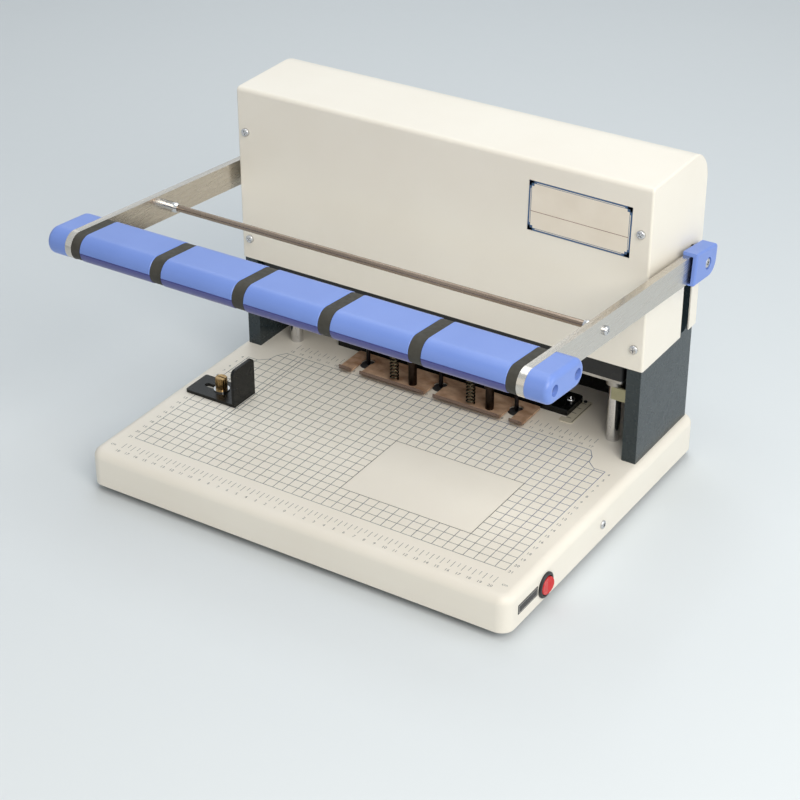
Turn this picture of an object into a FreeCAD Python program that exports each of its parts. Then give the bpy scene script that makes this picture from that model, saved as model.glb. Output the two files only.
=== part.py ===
"""Three-hole electric paper drilling and binding machine, as a parametric assembly.

Millimetres. X runs along the handle to the right, Y runs from the operator to the back, Z is up.
The origin is on the ground under the middle of the machine. The lever is modelled lowered.
"""

import FreeCAD, Part
import math
import os
import re
import Sketcher

# Driving dimensions -------------------------------------------------------------------------

SIZES = {
    # base
    "base_width": 427.0,
    "base_depth": 342.0,
    "base_tall": 34.0,
    "base_corner": 12.0,
    "base_edge": 8.0,
    "base_wall": 2.5,
    "base_screw_y": -9.4,
    "base_screw_z": 23.7,
    "foot_tall": 8.0,
    "foot_radius": 13.0,
    "foot_spread": 185.0,
    "foot_reach": 145.0,
    "rail_tall": 12.0,
    "rail_deep": 20.0,
    "rail_reach": 205.0,
    "rear_rail_y": 136.0,
    # side frames, panel and columns
    "frame_outer": 206.5,
    "frame_plate": 13.5,
    "frame_front": 63.5,
    "frame_back": 162.0,
    "frame_top": 285.0,
    "panel_front": 160.0,
    "panel_sheet": 1.5,
    "column_x": 170.0,
    "column_y": 92.0,
    "column_radius": 6.0,
    "column_top": 258.0,
    "bracket_tall": 15.0,
    "collar_low": 86.0,
    "collar_tall": 13.0,
    "collar_half": 7.0,
    # cover
    "cover_width": 416.0,
    "cover_front": 62.0,
    "cover_back": 167.5,
    "cover_low": 135.0,
    "cover_top": 305.0,
    "cover_sheet": 1.2,
    "cover_front_bend": 4.0,
    "cover_rear_bend": 30.0,
    "slot_y": 143.5,
    "slot_top": 213.0,
    "slot_radius": 8.3,
    "screw_x": 199.0,
    "screw_high": 262.6,
    "screw_low": 155.3,
    # lever, in its own frame: the pivot is its origin and the arms run to -Y
    "pivot_y": 141.0,
    "pivot_z": 209.5,
    "lever_tilt": 5.4,
    "shaft_radius": 7.0,
    "neck_radius": 5.5,
    "journal_radius": 4.5,
    "arm_inner": 213.5,
    "arm_plate": 6.5,
    "arm_half": 12.25,
    "grip_reach": 283.0,
    "grip_half": 12.25,
    "grip_spread": 17.0,
    "grip_end": 240.5,
    "band_wide": 11.2,
    "end_band": 9.0,
    "bolt_offset": 18.0,
    "bolt_radius": 3.0,
    "rod_reach": 179.9,
    "rod_radius": 3.0,
    "cap_inner": 212.5,
    "cap_outer": 226.0,
    "cap_half": 13.6,
    "cap_front": 25.0,
    "cap_back": 17.0,
    "cap_rise": 2.0,
    # rack drive
    "module_size": 2.5,
    "gear_pitch": 50.0,
    "gear_inner": 181.0,
    "gear_face": 6.0,
    "backlash": 0.4,
    "tooth_angle": 9.0,
    "sector_first": 9.0,
    "sector_last": 63.0,
    # drill head
    "head_low": 115.0,
    "wear_plate": 2.5,
    "beam_tall": 23.0,
    "beam_half": 188.0,
    "beam_front": 66.0,
    "beam_back": 118.0,
    "drill_x": -5.0,
    "drill_pitch": 80.0,
    "drill_y": 87.0,
    "drill_radius": 2.0,
    "drill_tip": 42.4,
    "chuck_radius": 7.0,
    "chuck_tall": 22.0,
    "spindle_radius": 6.0,
    "pulley_low": 146.0,
    "pulley_tall": 12.0,
    "pulley_radius": 18.0,
    "belt_plate": 2.0,
    "belt_wide": 8.0,
    "motor_x": 120.0,
    "motor_y": 100.0,
    "motor_radius": 30.0,
    "motor_low": 172.0,
    "motor_tall": 74.0,
    "motor_pulley": 10.0,
    # presser
    "presser_low": 44.0,
    "presser_sheet": 2.0,
    "presser_front": 60.5,
    "presser_back": 100.0,
    "presser_half": 98.0,
    "lip_rise": 4.0,
    "notch_radius": 5.0,
    "pin_x": 41.0,
    "pin_shift": 18.8,
    "pin_y": 73.0,
    "pin_radius": 2.7,
    "pin_sleeve": 4.0,
    "spring_y": 71.0,
    "spring_radius": 4.5,
    "spring_wire": 1.4,
    # table stops
    "stop_left": -201.0,
    "stop_right": -145.0,
    "stop_front": -45.0,
    "stop_back": -13.0,
    "stop_sheet": 3.0,
    "stop_rise": 38.0,
    "stop_screw_x": -172.0,
    "stop_screw_y": -28.0,
    "gauge_left": -130.0,
    "gauge_right": 118.0,
    "gauge_front": 103.5,
    "gauge_deep": 32.0,
    "gauge_tall": 6.0,
    "gauge_slot_x": 118.0,
    # power switch and inlet
    "switch_y": -109.0,
    "switch_z": 21.5,
    "bezel_radius": 11.5,
    "rocker_radius": 8.2,
    "rocker_tilt": 7.0,
    "rocker_pivot": 1.2,
    "rocker_pin": 0.8,
    "inlet_x": 120.0,
    "inlet_z": 24.0,
}

# Sizes that follow from the driving ones, as spreadsheet formulas.
DERIVED = {
    "table_top": "foot_tall + base_tall",
    "frame_inner": "frame_outer - frame_plate",
    "beam_low": "head_low + wear_plate",
    "beam_top": "head_low + wear_plate + beam_tall",
    "arm_outer": "arm_inner + arm_plate",
    "grip_step": "(2 * arm_inner - band_wide) / 5",
    "rack_pitch_y": "pivot_y - gear_pitch",
    "tooth_step": "3.14159265 * module_size",
    "tooth_half": "tooth_step / 4 - backlash / 2",
    "belt_low": "pulley_low + (pulley_tall - belt_wide) / 2",
    "presser_top": "presser_low + presser_sheet",
}

document = FreeCAD.newDocument("binding_machine")
sheet = document.addObject("Spreadsheet::Sheet", "Sizes")
nodes = []


def fill_sheet():
    """Write the driving sizes, and the formulas that follow from them, into the spreadsheet."""
    for row, (name, value) in enumerate(SIZES.items(), start=1):
        sheet.set(f"A{row}", name)
        sheet.set(f"B{row}", str(value))
        sheet.setAlias(f"B{row}", name)
    document.recompute()
    for row, (name, formula) in enumerate(DERIVED.items(), start=1):
        sheet.set(f"D{row}", name)
        sheet.set(f"E{row}", "=" + formula)
        sheet.setAlias(f"E{row}", name)
    document.recompute()


# Small vocabulary for sketches and features -------------------------------------------------


def linked(text):
    """The expression with every size's name pointed at the spreadsheet."""
    def point(word):
        name = word.group()
        return "Sizes." + name if name in SIZES or name in DERIVED else name
    return re.sub(r"[a-z_]+", point, str(text))


def number(text):
    """The expression's present value."""
    return float(sheet.evalExpression(linked(text)))


def bind(thing, path, text):
    """Bind one property to an expression on the sheet."""
    thing.setExpression(path, linked(text))


def body(label):
    """A new PartDesign body, exported under its label."""
    made = document.addObject("PartDesign::Body", label)
    made.Label = label
    nodes.append(made)
    return made


def place(thing, x="0", y="0", z="0", axis=None, turn=None):
    """Bind the position, and the turn about one axis, of a sub-part."""
    if axis is not None:
        thing.Placement = FreeCAD.Placement(FreeCAD.Vector(), FreeCAD.Rotation(FreeCAD.Vector(*axis), 1.0))
        bind(thing, "Placement.Rotation.Angle", turn)
    bind(thing, "Placement.Base.x", x)
    bind(thing, "Placement.Base.y", y)
    bind(thing, "Placement.Base.z", z)


def place_on_lever(thing, reach="0"):
    """Carry a sub-part modelled in the lever's own frame, or about a point this far along the arms."""
    place(thing, "0", f"pivot_y - ({reach}) * cos(lever_tilt)", f"pivot_z + ({reach}) * sin(lever_tilt)",
          axis=(-1, 0, 0), turn="lever_tilt")


def plane_of(owner, role):
    """One of the body's own origin planes."""
    return next(item for item in owner.Origin.OriginFeatures if item.Role == role)


def sketch(owner, role, height="0"):
    """A sketch on an origin plane of the body, at a bound height along the plane's normal."""
    made = owner.newObject("Sketcher::SketchObject", owner.Label + "_sketch")
    made.AttachmentSupport = [(plane_of(owner, role), "")]
    made.MapMode = "FlatFace"
    bind(made, "AttachmentOffset.Base.z", height)
    return made


def pin_point(target, index, position, x, y):
    """Fix one vertex of a sketch to bound coordinates."""
    for kind, text in (("DistanceX", x), ("DistanceY", y)):
        row = target.addConstraint(Sketcher.Constraint(kind, -1, 1, index, position, number(text)))
        bind(target, f"Constraints[{row}]", text)


def polygon(target, points):
    """A closed outline of straight lines whose corners are bound."""
    flat = [FreeCAD.Vector(number(x), number(y), 0) for x, y in points]
    first = target.GeometryCount
    count = len(points)
    for step in range(count):
        target.addGeometry(Part.LineSegment(flat[step], flat[(step + 1) % count]))
    for step in range(count):
        following = first + (step + 1) % count
        target.addConstraint(Sketcher.Constraint("Coincident", first + step, 2, following, 1))
        pin_point(target, first + step, 1, *points[step])


def rectangle(target, left, right, low, high):
    """A bound rectangle."""
    polygon(target, [(left, low), (right, low), (right, high), (left, high)])


def circle(target, x, y, radius):
    """A bound circle."""
    index = target.addGeometry(Part.Circle(FreeCAD.Vector(number(x), number(y), 0), FreeCAD.Vector(0, 0, 1),
                                           number(radius)))
    pin_point(target, index, 3, x, y)
    row = target.addConstraint(Sketcher.Constraint("Radius", index, number(radius)))
    bind(target, f"Constraints[{row}]", radius)


def loop_round(target, circles):
    """The outline of a band pulled tight round circles given in anticlockwise order."""
    centres = [FreeCAD.Vector(number(x), number(y), 0) for x, y, _ in circles]
    radii = [number(radius) for _, _, radius in circles]
    count = len(circles)
    leave = []
    for step in range(count):
        after = (step + 1) % count
        run = centres[after] - centres[step]
        lean = math.acos((radii[step] - radii[after]) / run.Length)
        leave.append(math.atan2(run.y, run.x) - lean)
    arcs = []
    lines = []
    for step in range(count):
        start = leave[step - 1]
        end = leave[step]
        while end <= start:
            end += 2 * math.pi
        round_part = Part.Circle(centres[step], FreeCAD.Vector(0, 0, 1), radii[step])
        arcs.append(target.addGeometry(Part.ArcOfCircle(round_part, start, end)))
    for step in range(count):
        after = (step + 1) % count
        outward = FreeCAD.Vector(math.cos(leave[step]), math.sin(leave[step]), 0)
        start = centres[step] + outward * radii[step]
        end = centres[after] + outward * radii[after]
        lines.append(target.addGeometry(Part.LineSegment(start, end)))
    for step in range(count):
        x, y, radius = circles[step]
        pin_point(target, arcs[step], 3, x, y)
        row = target.addConstraint(Sketcher.Constraint("Radius", arcs[step], radii[step]))
        bind(target, f"Constraints[{row}]", radius)
        target.addConstraint(Sketcher.Constraint("Tangent", arcs[step], 2, lines[step], 1))
        target.addConstraint(Sketcher.Constraint("Tangent", lines[step], 2, arcs[(step + 1) % count], 1))


def oblong(target, x, y, half_run, radius):
    """A rounded slot outline that lies along the sketch's first axis."""
    loop_round(target, [(f"{x} - ({half_run})", y, radius), (f"{x} + ({half_run})", y, radius)])


def upright(target, x, low, high, radius):
    """A rounded slot outline that stands along the sketch's second axis, between two centres."""
    loop_round(target, [(x, low, radius), (x, high, radius)])


def level(role, low, high):
    """Where a sketch lies along its normal so that a pad from it fills low to high."""
    return f"-({high})" if role == "XZ_Plane" else low


def far_level(role, low, high):
    """Where a sketch lies along its normal so that a pocket from it clears low to high."""
    return f"-({low})" if role == "XZ_Plane" else high


def pad(owner, role, low, high, draw, taper=None):
    """Fill an outline between two heights along the plane's axis."""
    outline = sketch(owner, role, level(role, low, high))
    draw(outline)
    made = owner.newObject("PartDesign::Pad", owner.Label + "_pad")
    made.Profile = outline
    bind(made, "Length", f"({high}) - ({low})")
    if taper is not None:
        made.TaperAngle = taper
    document.recompute()
    return made


def pocket(owner, role, low, high, draw):
    """Clear an outline between two heights, and make sure that something was cut."""
    before = owner.Tip.Shape.Volume
    outline = sketch(owner, role, far_level(role, low, high))
    draw(outline)
    made = owner.newObject("PartDesign::Pocket", owner.Label + "_pocket")
    made.Profile = outline
    bind(made, "Length", f"({high}) - ({low})")
    document.recompute()
    if not made.Shape.Volume < before:
        raise RuntimeError(f"{made.Label} cuts nothing")
    return made


def lathe(owner, outlines, axis="V_Axis", role="XZ_Plane"):
    """Turn outlines, each a list of bound corner points, about an axis of their sketch."""
    profile = sketch(owner, role)
    for points in outlines:
        polygon(profile, points)
    made = owner.newObject("PartDesign::Revolution", owner.Label + "_turned")
    made.Profile = profile
    made.ReferenceAxis = (profile, [axis])
    document.recompute()
    return made


def edge_names(feature, wanted):
    """The names of the feature's edges that pass a test."""
    return [f"Edge{count}" for count, edge in enumerate(feature.Shape.Edges, start=1) if wanted(edge)]


def soften(owner, kind, size, wanted):
    """Round (Fillet) or bevel (Chamfer) the edges of the body's tip that pass a test."""
    tip = owner.Tip
    names = edge_names(tip, wanted)
    made = owner.newObject("PartDesign::" + kind, owner.Label + "_" + kind.lower())
    made.Base = (tip, names)
    bind(made, "Radius" if kind == "Fillet" else "Size", size)
    document.recompute()
    return made


def runs_along(axis):
    """A test for straight edges parallel to an axis."""
    direction = FreeCAD.Vector(*axis)

    def test(edge):
        straight = edge.Curve.TypeId == "Part::GeomLine"
        return straight and abs(edge.tangentAt(edge.FirstParameter).dot(direction)) > 0.999
    return test


def lies_at(axis, value):
    """A test for edges that lie wholly at one coordinate."""
    letter = "XYZ".index(axis)
    wanted_value = number(value)

    def test(edge):
        box = edge.BoundBox
        low = (box.XMin, box.YMin, box.ZMin)[letter]
        high = (box.XMax, box.YMax, box.ZMax)[letter]
        return abs(low - wanted_value) < 0.01 and abs(high - wanted_value) < 0.01
    return test


def both(first, second):
    """A test that asks for two tests at once."""
    return lambda edge: first(edge) and second(edge)


def hollow(owner, sheet_size, face_at):
    """Shell the body inwards to a wall thickness, open at one face."""
    tip = owner.Tip
    names = [f"Face{count}" for count, face in enumerate(tip.Shape.Faces, start=1) if face_at(face)]
    made = owner.newObject("PartDesign::Thickness", owner.Label + "_shell")
    made.Base = (tip, names)
    made.Reversed = True
    bind(made, "Value", sheet_size)
    document.recompute()
    return made


def flat_face_at(axis, value):
    """A test for the plane face at one coordinate."""
    letter = "XYZ".index(axis)
    wanted_value = number(value)

    def test(face):
        return face.Surface.TypeId == "Part::GeomPlane" and abs(face.CenterOfMass[letter] - wanted_value) < 0.01 \
            and abs(face.normalAt(0, 0)[letter]) > 0.999
    return test


def side_span(side, inner, outer):
    """The low and high X of something mirrored to the left (-1) or right (1)."""
    return (inner, outer) if side > 0 else (f"-({outer})", f"-({inner})")


SIDES = (("left", -1), ("right", 1))
CORNERS = tuple((across, along) for across in (-1, 1) for along in (-1, 1))
DRILLS = (("left", -1), ("middle", 0), ("right", 1))


def drill_place(step):
    """The X of one of the three drills."""
    return f"drill_x + {step} * drill_pitch"


# Base ---------------------------------------------------------------------------------------


def build_base_shell():
    """Pressed sheet-metal base with soft top edges, open below."""
    shell = body("base_shell")
    pad(shell, "XY_Plane", "foot_tall", "table_top",
        lambda s: rectangle(s, "-base_width / 2", "base_width / 2", "-base_depth / 2", "base_depth / 2"))
    soften(shell, "Fillet", "base_corner", runs_along((0, 0, 1)))
    soften(shell, "Fillet", "base_edge", lies_at("Z", "table_top"))
    hollow(shell, "base_wall", flat_face_at("Z", "foot_tall"))

    def table_holes(s):
        for _, step in DRILLS:
            circle(s, drill_place(step), "drill_y", "8.1")
        circle(s, "stop_screw_x", "stop_screw_y", "2.6")
        for across in (-1, 1):
            circle(s, f"(gauge_left + gauge_right) / 2 + {across} * gauge_slot_x", "gauge_front + 18", "2.1")
    pocket(shell, "XY_Plane", "table_top - 5", "table_top", table_holes)
    pocket(shell, "YZ_Plane", "base_width / 2 - 6", "base_width / 2",
           lambda s: circle(s, "switch_y", "switch_z", "10"))
    pocket(shell, "XZ_Plane", "base_depth / 2 - 6", "base_depth / 2 + 1",
           lambda s: rectangle(s, "inlet_x - 14", "inlet_x + 14", "inlet_z - 10.2", "inlet_z + 10.2"))
    pocket(shell, "YZ_Plane", "-base_width / 2 - 1", "base_width / 2 + 1",
           lambda s: circle(s, "base_screw_y", "base_screw_z", "2"))


def build_bottom_plate():
    """Sheet that closes the base, with vent slots and a turned-up ear at each side for its screw."""
    plate = body("base_bottom_plate")
    pad(plate, "XY_Plane", "foot_tall", "foot_tall + 2",
        lambda s: rectangle(s, "3 - base_width / 2", "base_width / 2 - 3", "3 - base_depth / 2", "base_depth / 2 - 3"))
    soften(plate, "Fillet", "base_corner - 3", runs_along((0, 0, 1)))

    def openings(s):
        for across, along in CORNERS:
            circle(s, f"{across} * foot_spread", f"{along} * foot_reach", "2.2")
        for step in range(-3, 4):
            upright(s, f"{step} * 14", "-25", "25", "2.5")
    pocket(plate, "XY_Plane", "foot_tall", "foot_tall + 2", openings)

    def ears(s):
        for side in (-1, 1):
            low, high = side_span(side, "base_width / 2 - 5", "base_width / 2 - 3")
            rectangle(s, low, high, "base_screw_y - 8", "base_screw_y + 8")
    pad(plate, "XY_Plane", "foot_tall", "base_screw_z + 7", ears)
    soften(plate, "Chamfer", "4", both(runs_along((1, 0, 0)), lies_at("Z", "base_screw_z + 7")))
    pocket(plate, "YZ_Plane", "-base_width / 2", "base_width / 2",
           lambda s: circle(s, "base_screw_y", "base_screw_z", "1.7"))


def build_base_screws():
    """Pan-head screws through the base's sides into the ears of the bottom plate."""
    screws = body("base_screws")
    outlines = []
    for side in (-1, 1):
        profile = [("base_width / 2 - 9", "0"), ("base_width / 2 + 2", "0"), ("base_width / 2 + 2", "2.2"),
                   ("base_width / 2 + 1", "3.7"), ("base_width / 2", "3.9"), ("base_width / 2", "1.6"),
                   ("base_width / 2 - 9", "1.6")]
        outlines.append([(f"{side} * ({x})", radius) for x, radius in profile])
    lathe(screws, outlines, axis="H_Axis", role="XY_Plane")
    place(screws, "0", "base_screw_y", "base_screw_z")


def build_feet():
    """Four tapered rubber feet, each with a counterbore for its screw."""
    feet = body("rubber_feet")

    def rounds(radius):
        def draw(s):
            for across, along in CORNERS:
                circle(s, f"{across} * foot_spread", f"{along} * foot_reach", radius)
        return draw
    pad(feet, "XY_Plane", "0", "foot_tall", rounds("foot_radius - 2"))
    soften(feet, "Chamfer", "1.5", lies_at("Z", "0"))
    pocket(feet, "XY_Plane", "0", "3.5", rounds("4.5"))


def build_rails():
    """Two steel bars under the table that carry the side frames; the front one seats the drill pads."""
    rails = body("frame_rails")
    low = "table_top - base_wall - rail_tall"
    high = "table_top - base_wall"

    def outlines(s):
        for middle in ("drill_y", "rear_rail_y"):
            rectangle(s, "-rail_reach", "rail_reach", f"{middle} - rail_deep / 2", f"{middle} + rail_deep / 2")
    pad(rails, "XY_Plane", low, high, outlines)

    def pad_seats(s):
        for _, step in DRILLS:
            circle(s, drill_place(step), "drill_y", "8.1")
    pocket(rails, "XY_Plane", "table_top - base_wall - 6", high, pad_seats)


def build_drill_pads():
    """Three nylon discs let into the table, which the drills end on."""
    pads = body("drill_pads")

    def rounds(s):
        for _, step in DRILLS:
            circle(s, drill_place(step), "drill_y", "8")
    pad(pads, "XY_Plane", "table_top - base_wall - 6", "table_top", rounds)
    soften(pads, "Chamfer", "0.6", lies_at("Z", "table_top"))


# Frame --------------------------------------------------------------------------------------


def build_side_frames():
    """Thick painted side plates that stand on the table, with a window below the shaft's bore."""
    for name, side in SIDES:
        frame = body("side_frame_" + name)
        low, high = side_span(side, "frame_inner", "frame_outer")
        pad(frame, "YZ_Plane", low, high,
            lambda s: rectangle(s, "frame_front", "frame_back", "table_top", "frame_top"))
        soften(frame, "Fillet", "12", both(runs_along((1, 0, 0)), lies_at("Z", "frame_top")))
        pocket(frame, "YZ_Plane", low, high, lambda s: circle(s, "pivot_y", "pivot_z", "11.05"))
        pocket(frame, "YZ_Plane", low, high, lambda s: upright(s, "slot_y", "144.5", "184", "slot_radius"))

        def screw_holes(s):
            for tall in ("screw_high", "screw_low"):
                circle(s, f"{side} * screw_x", tall, "2")
        pocket(frame, "XZ_Plane", "frame_front", "frame_front + 14", screw_holes)


def build_back_panel():
    """Black sheet that closes the back between the side frames."""
    panel = body("back_panel")
    pad(panel, "XZ_Plane", "panel_front", "panel_front + panel_sheet",
        lambda s: rectangle(s, "0.1 - frame_inner", "frame_inner - 0.1", "table_top", "frame_top - 6"))
    soften(panel, "Fillet", "6", both(runs_along((0, 1, 0)), lies_at("Z", "frame_top - 6")))


def build_crossbar():
    """Bar that ties the side frames together at the top."""
    bar = body("top_crossbar")
    pad(bar, "XZ_Plane", "frame_back - 24", "frame_back - 6",
        lambda s: rectangle(s, "0.1 - frame_inner", "frame_inner - 0.1", "frame_top - 22", "frame_top - 6"))
    soften(bar, "Chamfer", "1.5", runs_along((1, 0, 0)))


def build_column_brackets():
    """L-shaped blocks from the side frames that hold the columns' upper ends, clear of the racks."""
    brackets = body("column_brackets")

    def outlines(s):
        for side in (-1, 1):
            corners = [("column_x - 9", "frame_front + 2"), ("frame_inner - 0.1", "frame_front + 2"),
                       ("frame_inner - 0.1", "frame_front + 13"), ("column_x + 9", "frame_front + 13"),
                       ("column_x + 9", "column_y + 10"), ("column_x - 9", "column_y + 10")]
            polygon(s, [(f"{side} * ({x})", y) for x, y in corners])
            circle(s, f"{side} * column_x", "column_y", "column_radius + 0.05")
    pad(brackets, "XY_Plane", "column_top - bracket_tall", "column_top", outlines)


def build_columns():
    """Two hard-chromed guide columns, and the blocks on the side frames that stop the head beside them."""
    columns = body("guide_columns")

    def rounds(s):
        for side in (-1, 1):
            circle(s, f"{side} * column_x", "column_y", "column_radius")
    pad(columns, "XY_Plane", "table_top", "column_top", rounds)
    soften(columns, "Chamfer", "0.8", lies_at("Z", "column_top"))

    collars = body("stop_collars")

    def blocks(s):
        for side in (-1, 1):
            low, high = side_span(side, "column_x - 1", "frame_inner - 0.1")
            rectangle(s, low, high, "column_y - collar_half", "column_y + collar_half")
    pad(collars, "XY_Plane", "collar_low", "collar_low + collar_tall", blocks)

    def seats(s):
        for side in (-1, 1):
            circle(s, f"{side} * column_x", "column_y", "column_radius + 0.1")
    pocket(collars, "XY_Plane", "collar_low", "collar_low + collar_tall", seats)
    soften(collars, "Chamfer", "0.8", both(runs_along((1, 0, 0)), lies_at("Z", "collar_low + collar_tall")))


def build_shaft_bearings():
    """Flanged bushes in the side frames for the cross shaft."""
    bearings = body("shaft_bearings")
    outlines = []
    for side in (-1, 1):
        profile = [("frame_inner - 2", "shaft_radius + 0.05"), ("frame_outer", "shaft_radius + 0.05"),
                   ("frame_outer", "11"), ("frame_inner", "11"), ("frame_inner", "14"), ("frame_inner - 2", "14")]
        outlines.append([(f"{side} * ({x})", radius) for x, radius in profile])
    lathe(bearings, outlines, axis="H_Axis", role="XY_Plane")
    place(bearings, "0", "pivot_y", "pivot_z")


# Cover --------------------------------------------------------------------------------------


def build_cover():
    """Bent sheet-metal hood with a tight front bend, a large rear bend and an open slot in each side."""
    cover = body("cover")
    pad(cover, "YZ_Plane", "-cover_width / 2", "cover_width / 2",
        lambda s: rectangle(s, "cover_front", "cover_back", "cover_low", "cover_top"))
    along = runs_along((1, 0, 0))
    top = lies_at("Z", "cover_top")
    soften(cover, "Fillet", "cover_rear_bend", both(both(along, top), lies_at("Y", "cover_back")))
    soften(cover, "Fillet", "cover_front_bend", both(both(along, top), lies_at("Y", "cover_front")))
    soften(cover, "Fillet", "2", lambda edge: lies_at("X", "cover_width / 2")(edge)
           and edge.BoundBox.ZMax > number("cover_low") + 1 or lies_at("X", "-cover_width / 2")(edge)
           and edge.BoundBox.ZMax > number("cover_low") + 1)
    hollow(cover, "cover_sheet", flat_face_at("Z", "cover_low"))
    pocket(cover, "YZ_Plane", "-cover_width / 2 - 1", "cover_width / 2 + 1",
           lambda s: upright(s, "slot_y", "cover_low - 20", "slot_top", "slot_radius"))

    def screw_holes(s):
        for side in (-1, 1):
            for tall in ("screw_high", "screw_low"):
                circle(s, f"{side} * screw_x", tall, "2.3")
    pocket(cover, "XZ_Plane", "cover_front - 1", "cover_front + 3", screw_holes)


def build_cover_screws():
    """Four pan-head screws through the cover into the side frames."""
    screws = body("cover_screws")

    def rounds(radius):
        def draw(s):
            for side in (-1, 1):
                for tall in ("screw_high", "screw_low"):
                    circle(s, f"{side} * screw_x", tall, radius)
        return draw
    pad(screws, "XZ_Plane", "cover_front - 2.6", "cover_front", rounds("4"))
    soften(screws, "Chamfer", "1", lies_at("Y", "cover_front - 2.6"))
    pad(screws, "XZ_Plane", "cover_front", "frame_front + 12", rounds("1.9"))


# Lever --------------------------------------------------------------------------------------


def build_lever_shaft():
    """Cross shaft, necked where it leaves the cover and turned down again in the arms."""
    shaft = body("lever_shaft")
    ends = "arm_outer - 0.2"
    shoulder = "arm_inner - 0.2"
    lathe(shaft, [[("-frame_outer", "0"), ("frame_outer", "0"), ("frame_outer", "shaft_radius"),
                   ("-frame_outer", "shaft_radius")]], axis="H_Axis", role="XY_Plane")
    pad(shaft, "YZ_Plane", f"-({shoulder})", shoulder, lambda s: circle(s, "0", "0", "neck_radius"))
    pad(shaft, "YZ_Plane", f"-({ends})", ends, lambda s: circle(s, "0", "0", "journal_radius"))
    for side in (-1, 1):
        low, high = side_span(side, f"{ends} - 16", ends)
        pocket(shaft, "YZ_Plane", low, high, lambda s: circle(s, "0", "0", "2.55"))
    place(shaft, "0", "pivot_y", "pivot_z")


def build_sector_gears():
    """Two toothed sectors on the cross shaft, each a hub, a web and nine involute-like teeth."""
    middle = "(sector_last - sector_first) / 2"
    flank = math.tan(math.radians(20))
    for name, side in SIDES:
        gear = body("sector_gear_" + name)
        low, high = side_span(side, "gear_inner", "gear_inner + gear_face")
        hub_low, hub_high = side_span(side, "gear_inner - 4", "gear_inner + gear_face + 1.5")
        root = "gear_pitch - 1.2 * module_size"
        pad(gear, "YZ_Plane", hub_low, hub_high, lambda s: circle(s, "0", "0", "2 * shaft_radius"))
        web = sketch(gear, "XY_Plane")
        rectangle(web, low, high, f"-({root})", "-shaft_radius - 3")
        sector = gear.newObject("PartDesign::Revolution", gear.Label + "_web")
        sector.Profile = web
        sector.ReferenceAxis = (web, ["H_Axis"])
        sector.Midplane = True
        bind(sector, "Angle", "sector_first + sector_last + tooth_angle")

        seed = sketch(gear, "YZ_Plane", low)
        seed.AttachmentOffset = FreeCAD.Placement(FreeCAD.Vector(), FreeCAD.Rotation(FreeCAD.Vector(0, 0, -1), 1))
        bind(seed, "AttachmentOffset.Rotation.Angle", "(sector_first + sector_last) / 2")
        bind(seed, "AttachmentOffset.Base.z", low)
        thick = ((f"-({root}) + 1", "tooth_half * 1.36"), ("-gear_pitch", "tooth_half"),
                 ("-gear_pitch - 0.96 * module_size", f"tooth_half - {flank} * 1.1 * module_size"))
        polygon(seed, [(reach, f"-({half})") for reach, half in thick]
                + [(reach, half) for reach, half in reversed(thick)])
        tooth = gear.newObject("PartDesign::Pad", gear.Label + "_tooth")
        tooth.Profile = seed
        bind(tooth, "Length", "gear_face")
        document.recompute()
        teeth = gear.newObject("PartDesign::PolarPattern", gear.Label + "_teeth")
        teeth.Originals = [tooth]
        teeth.Axis = (plane_of(gear, "X_Axis"), [""])
        bind(teeth, "Angle", "sector_first + sector_last")
        teeth.Occurrences = round(number("(sector_first + sector_last) / tooth_angle")) + 1
        gear.Tip = teeth
        document.recompute()
        pocket(gear, "YZ_Plane", hub_low, hub_high, lambda s: circle(s, "0", "0", "shaft_radius + 0.02"))
        place(gear, "0", "pivot_y", "pivot_z", axis=(1, 0, 0), turn=middle)


def arm_outline(half):
    """Outline of an arm, from the far end of the grip to the pivot."""
    return lambda s: loop_round(s, [("-grip_reach - grip_spread", "0", half), ("0", "0", half)])


def build_lever_arms():
    """Flat steel arms, round-ended and as deep as the grip that they carry."""
    for name, side in SIDES:
        arm = body("lever_arm_" + name)
        low, high = side_span(side, "arm_inner", "arm_outer")
        pad(arm, "YZ_Plane", low, high, arm_outline("arm_half"))

        def holes(s):
            circle(s, "0", "0", "journal_radius + 0.03")
            circle(s, "-rod_reach", "0", "2.2")
            for step in (-1, 1):
                circle(s, f"{step} * bolt_offset - grip_reach", "0", "bolt_radius + 0.1")
        pocket(arm, "YZ_Plane", low, high, holes)
        place_on_lever(arm)


def build_pivot_caps():
    """Moulded hoods over the arms' rear ends, lipped round the arm and sunk for the screw."""
    caps = body("pivot_caps")
    for _, side in SIDES:
        low, high = side_span(side, "cap_inner", "cap_outer")
        pad(caps, "YZ_Plane", low, high,
            lambda s: polygon(s, [("-cap_front", "-cap_half"), ("cap_back", "-cap_half"), ("cap_back", "cap_half"),
                                  ("-cap_front", "cap_half + cap_rise")]))
    rear = both(runs_along((1, 0, 0)), lies_at("Y", "cap_back"))
    soften(caps, "Fillet", "cap_half - 0.6", both(rear, lies_at("Z", "-cap_half")))
    soften(caps, "Fillet", "4", both(rear, lambda edge: edge.BoundBox.ZMin > 0))
    for _, side in SIDES:
        soften(caps, "Fillet", "2", lies_at("X", f"{side} * cap_outer"))
    for _, side in SIDES:
        low, high = side_span(side, "cap_inner - 0.1", "arm_outer + 2")
        pocket(caps, "YZ_Plane", low, high, arm_outline("arm_half + 0.1"))
        low, high = side_span(side, "arm_outer", "cap_outer + 1")
        pocket(caps, "YZ_Plane", low, high, lambda s: circle(s, "0", "0", "2.8"))
        low, high = side_span(side, "cap_outer - 2.5", "cap_outer + 1")
        pocket(caps, "YZ_Plane", low, high, lambda s: circle(s, "0", "0", "5.5"))
    place_on_lever(caps)


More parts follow.
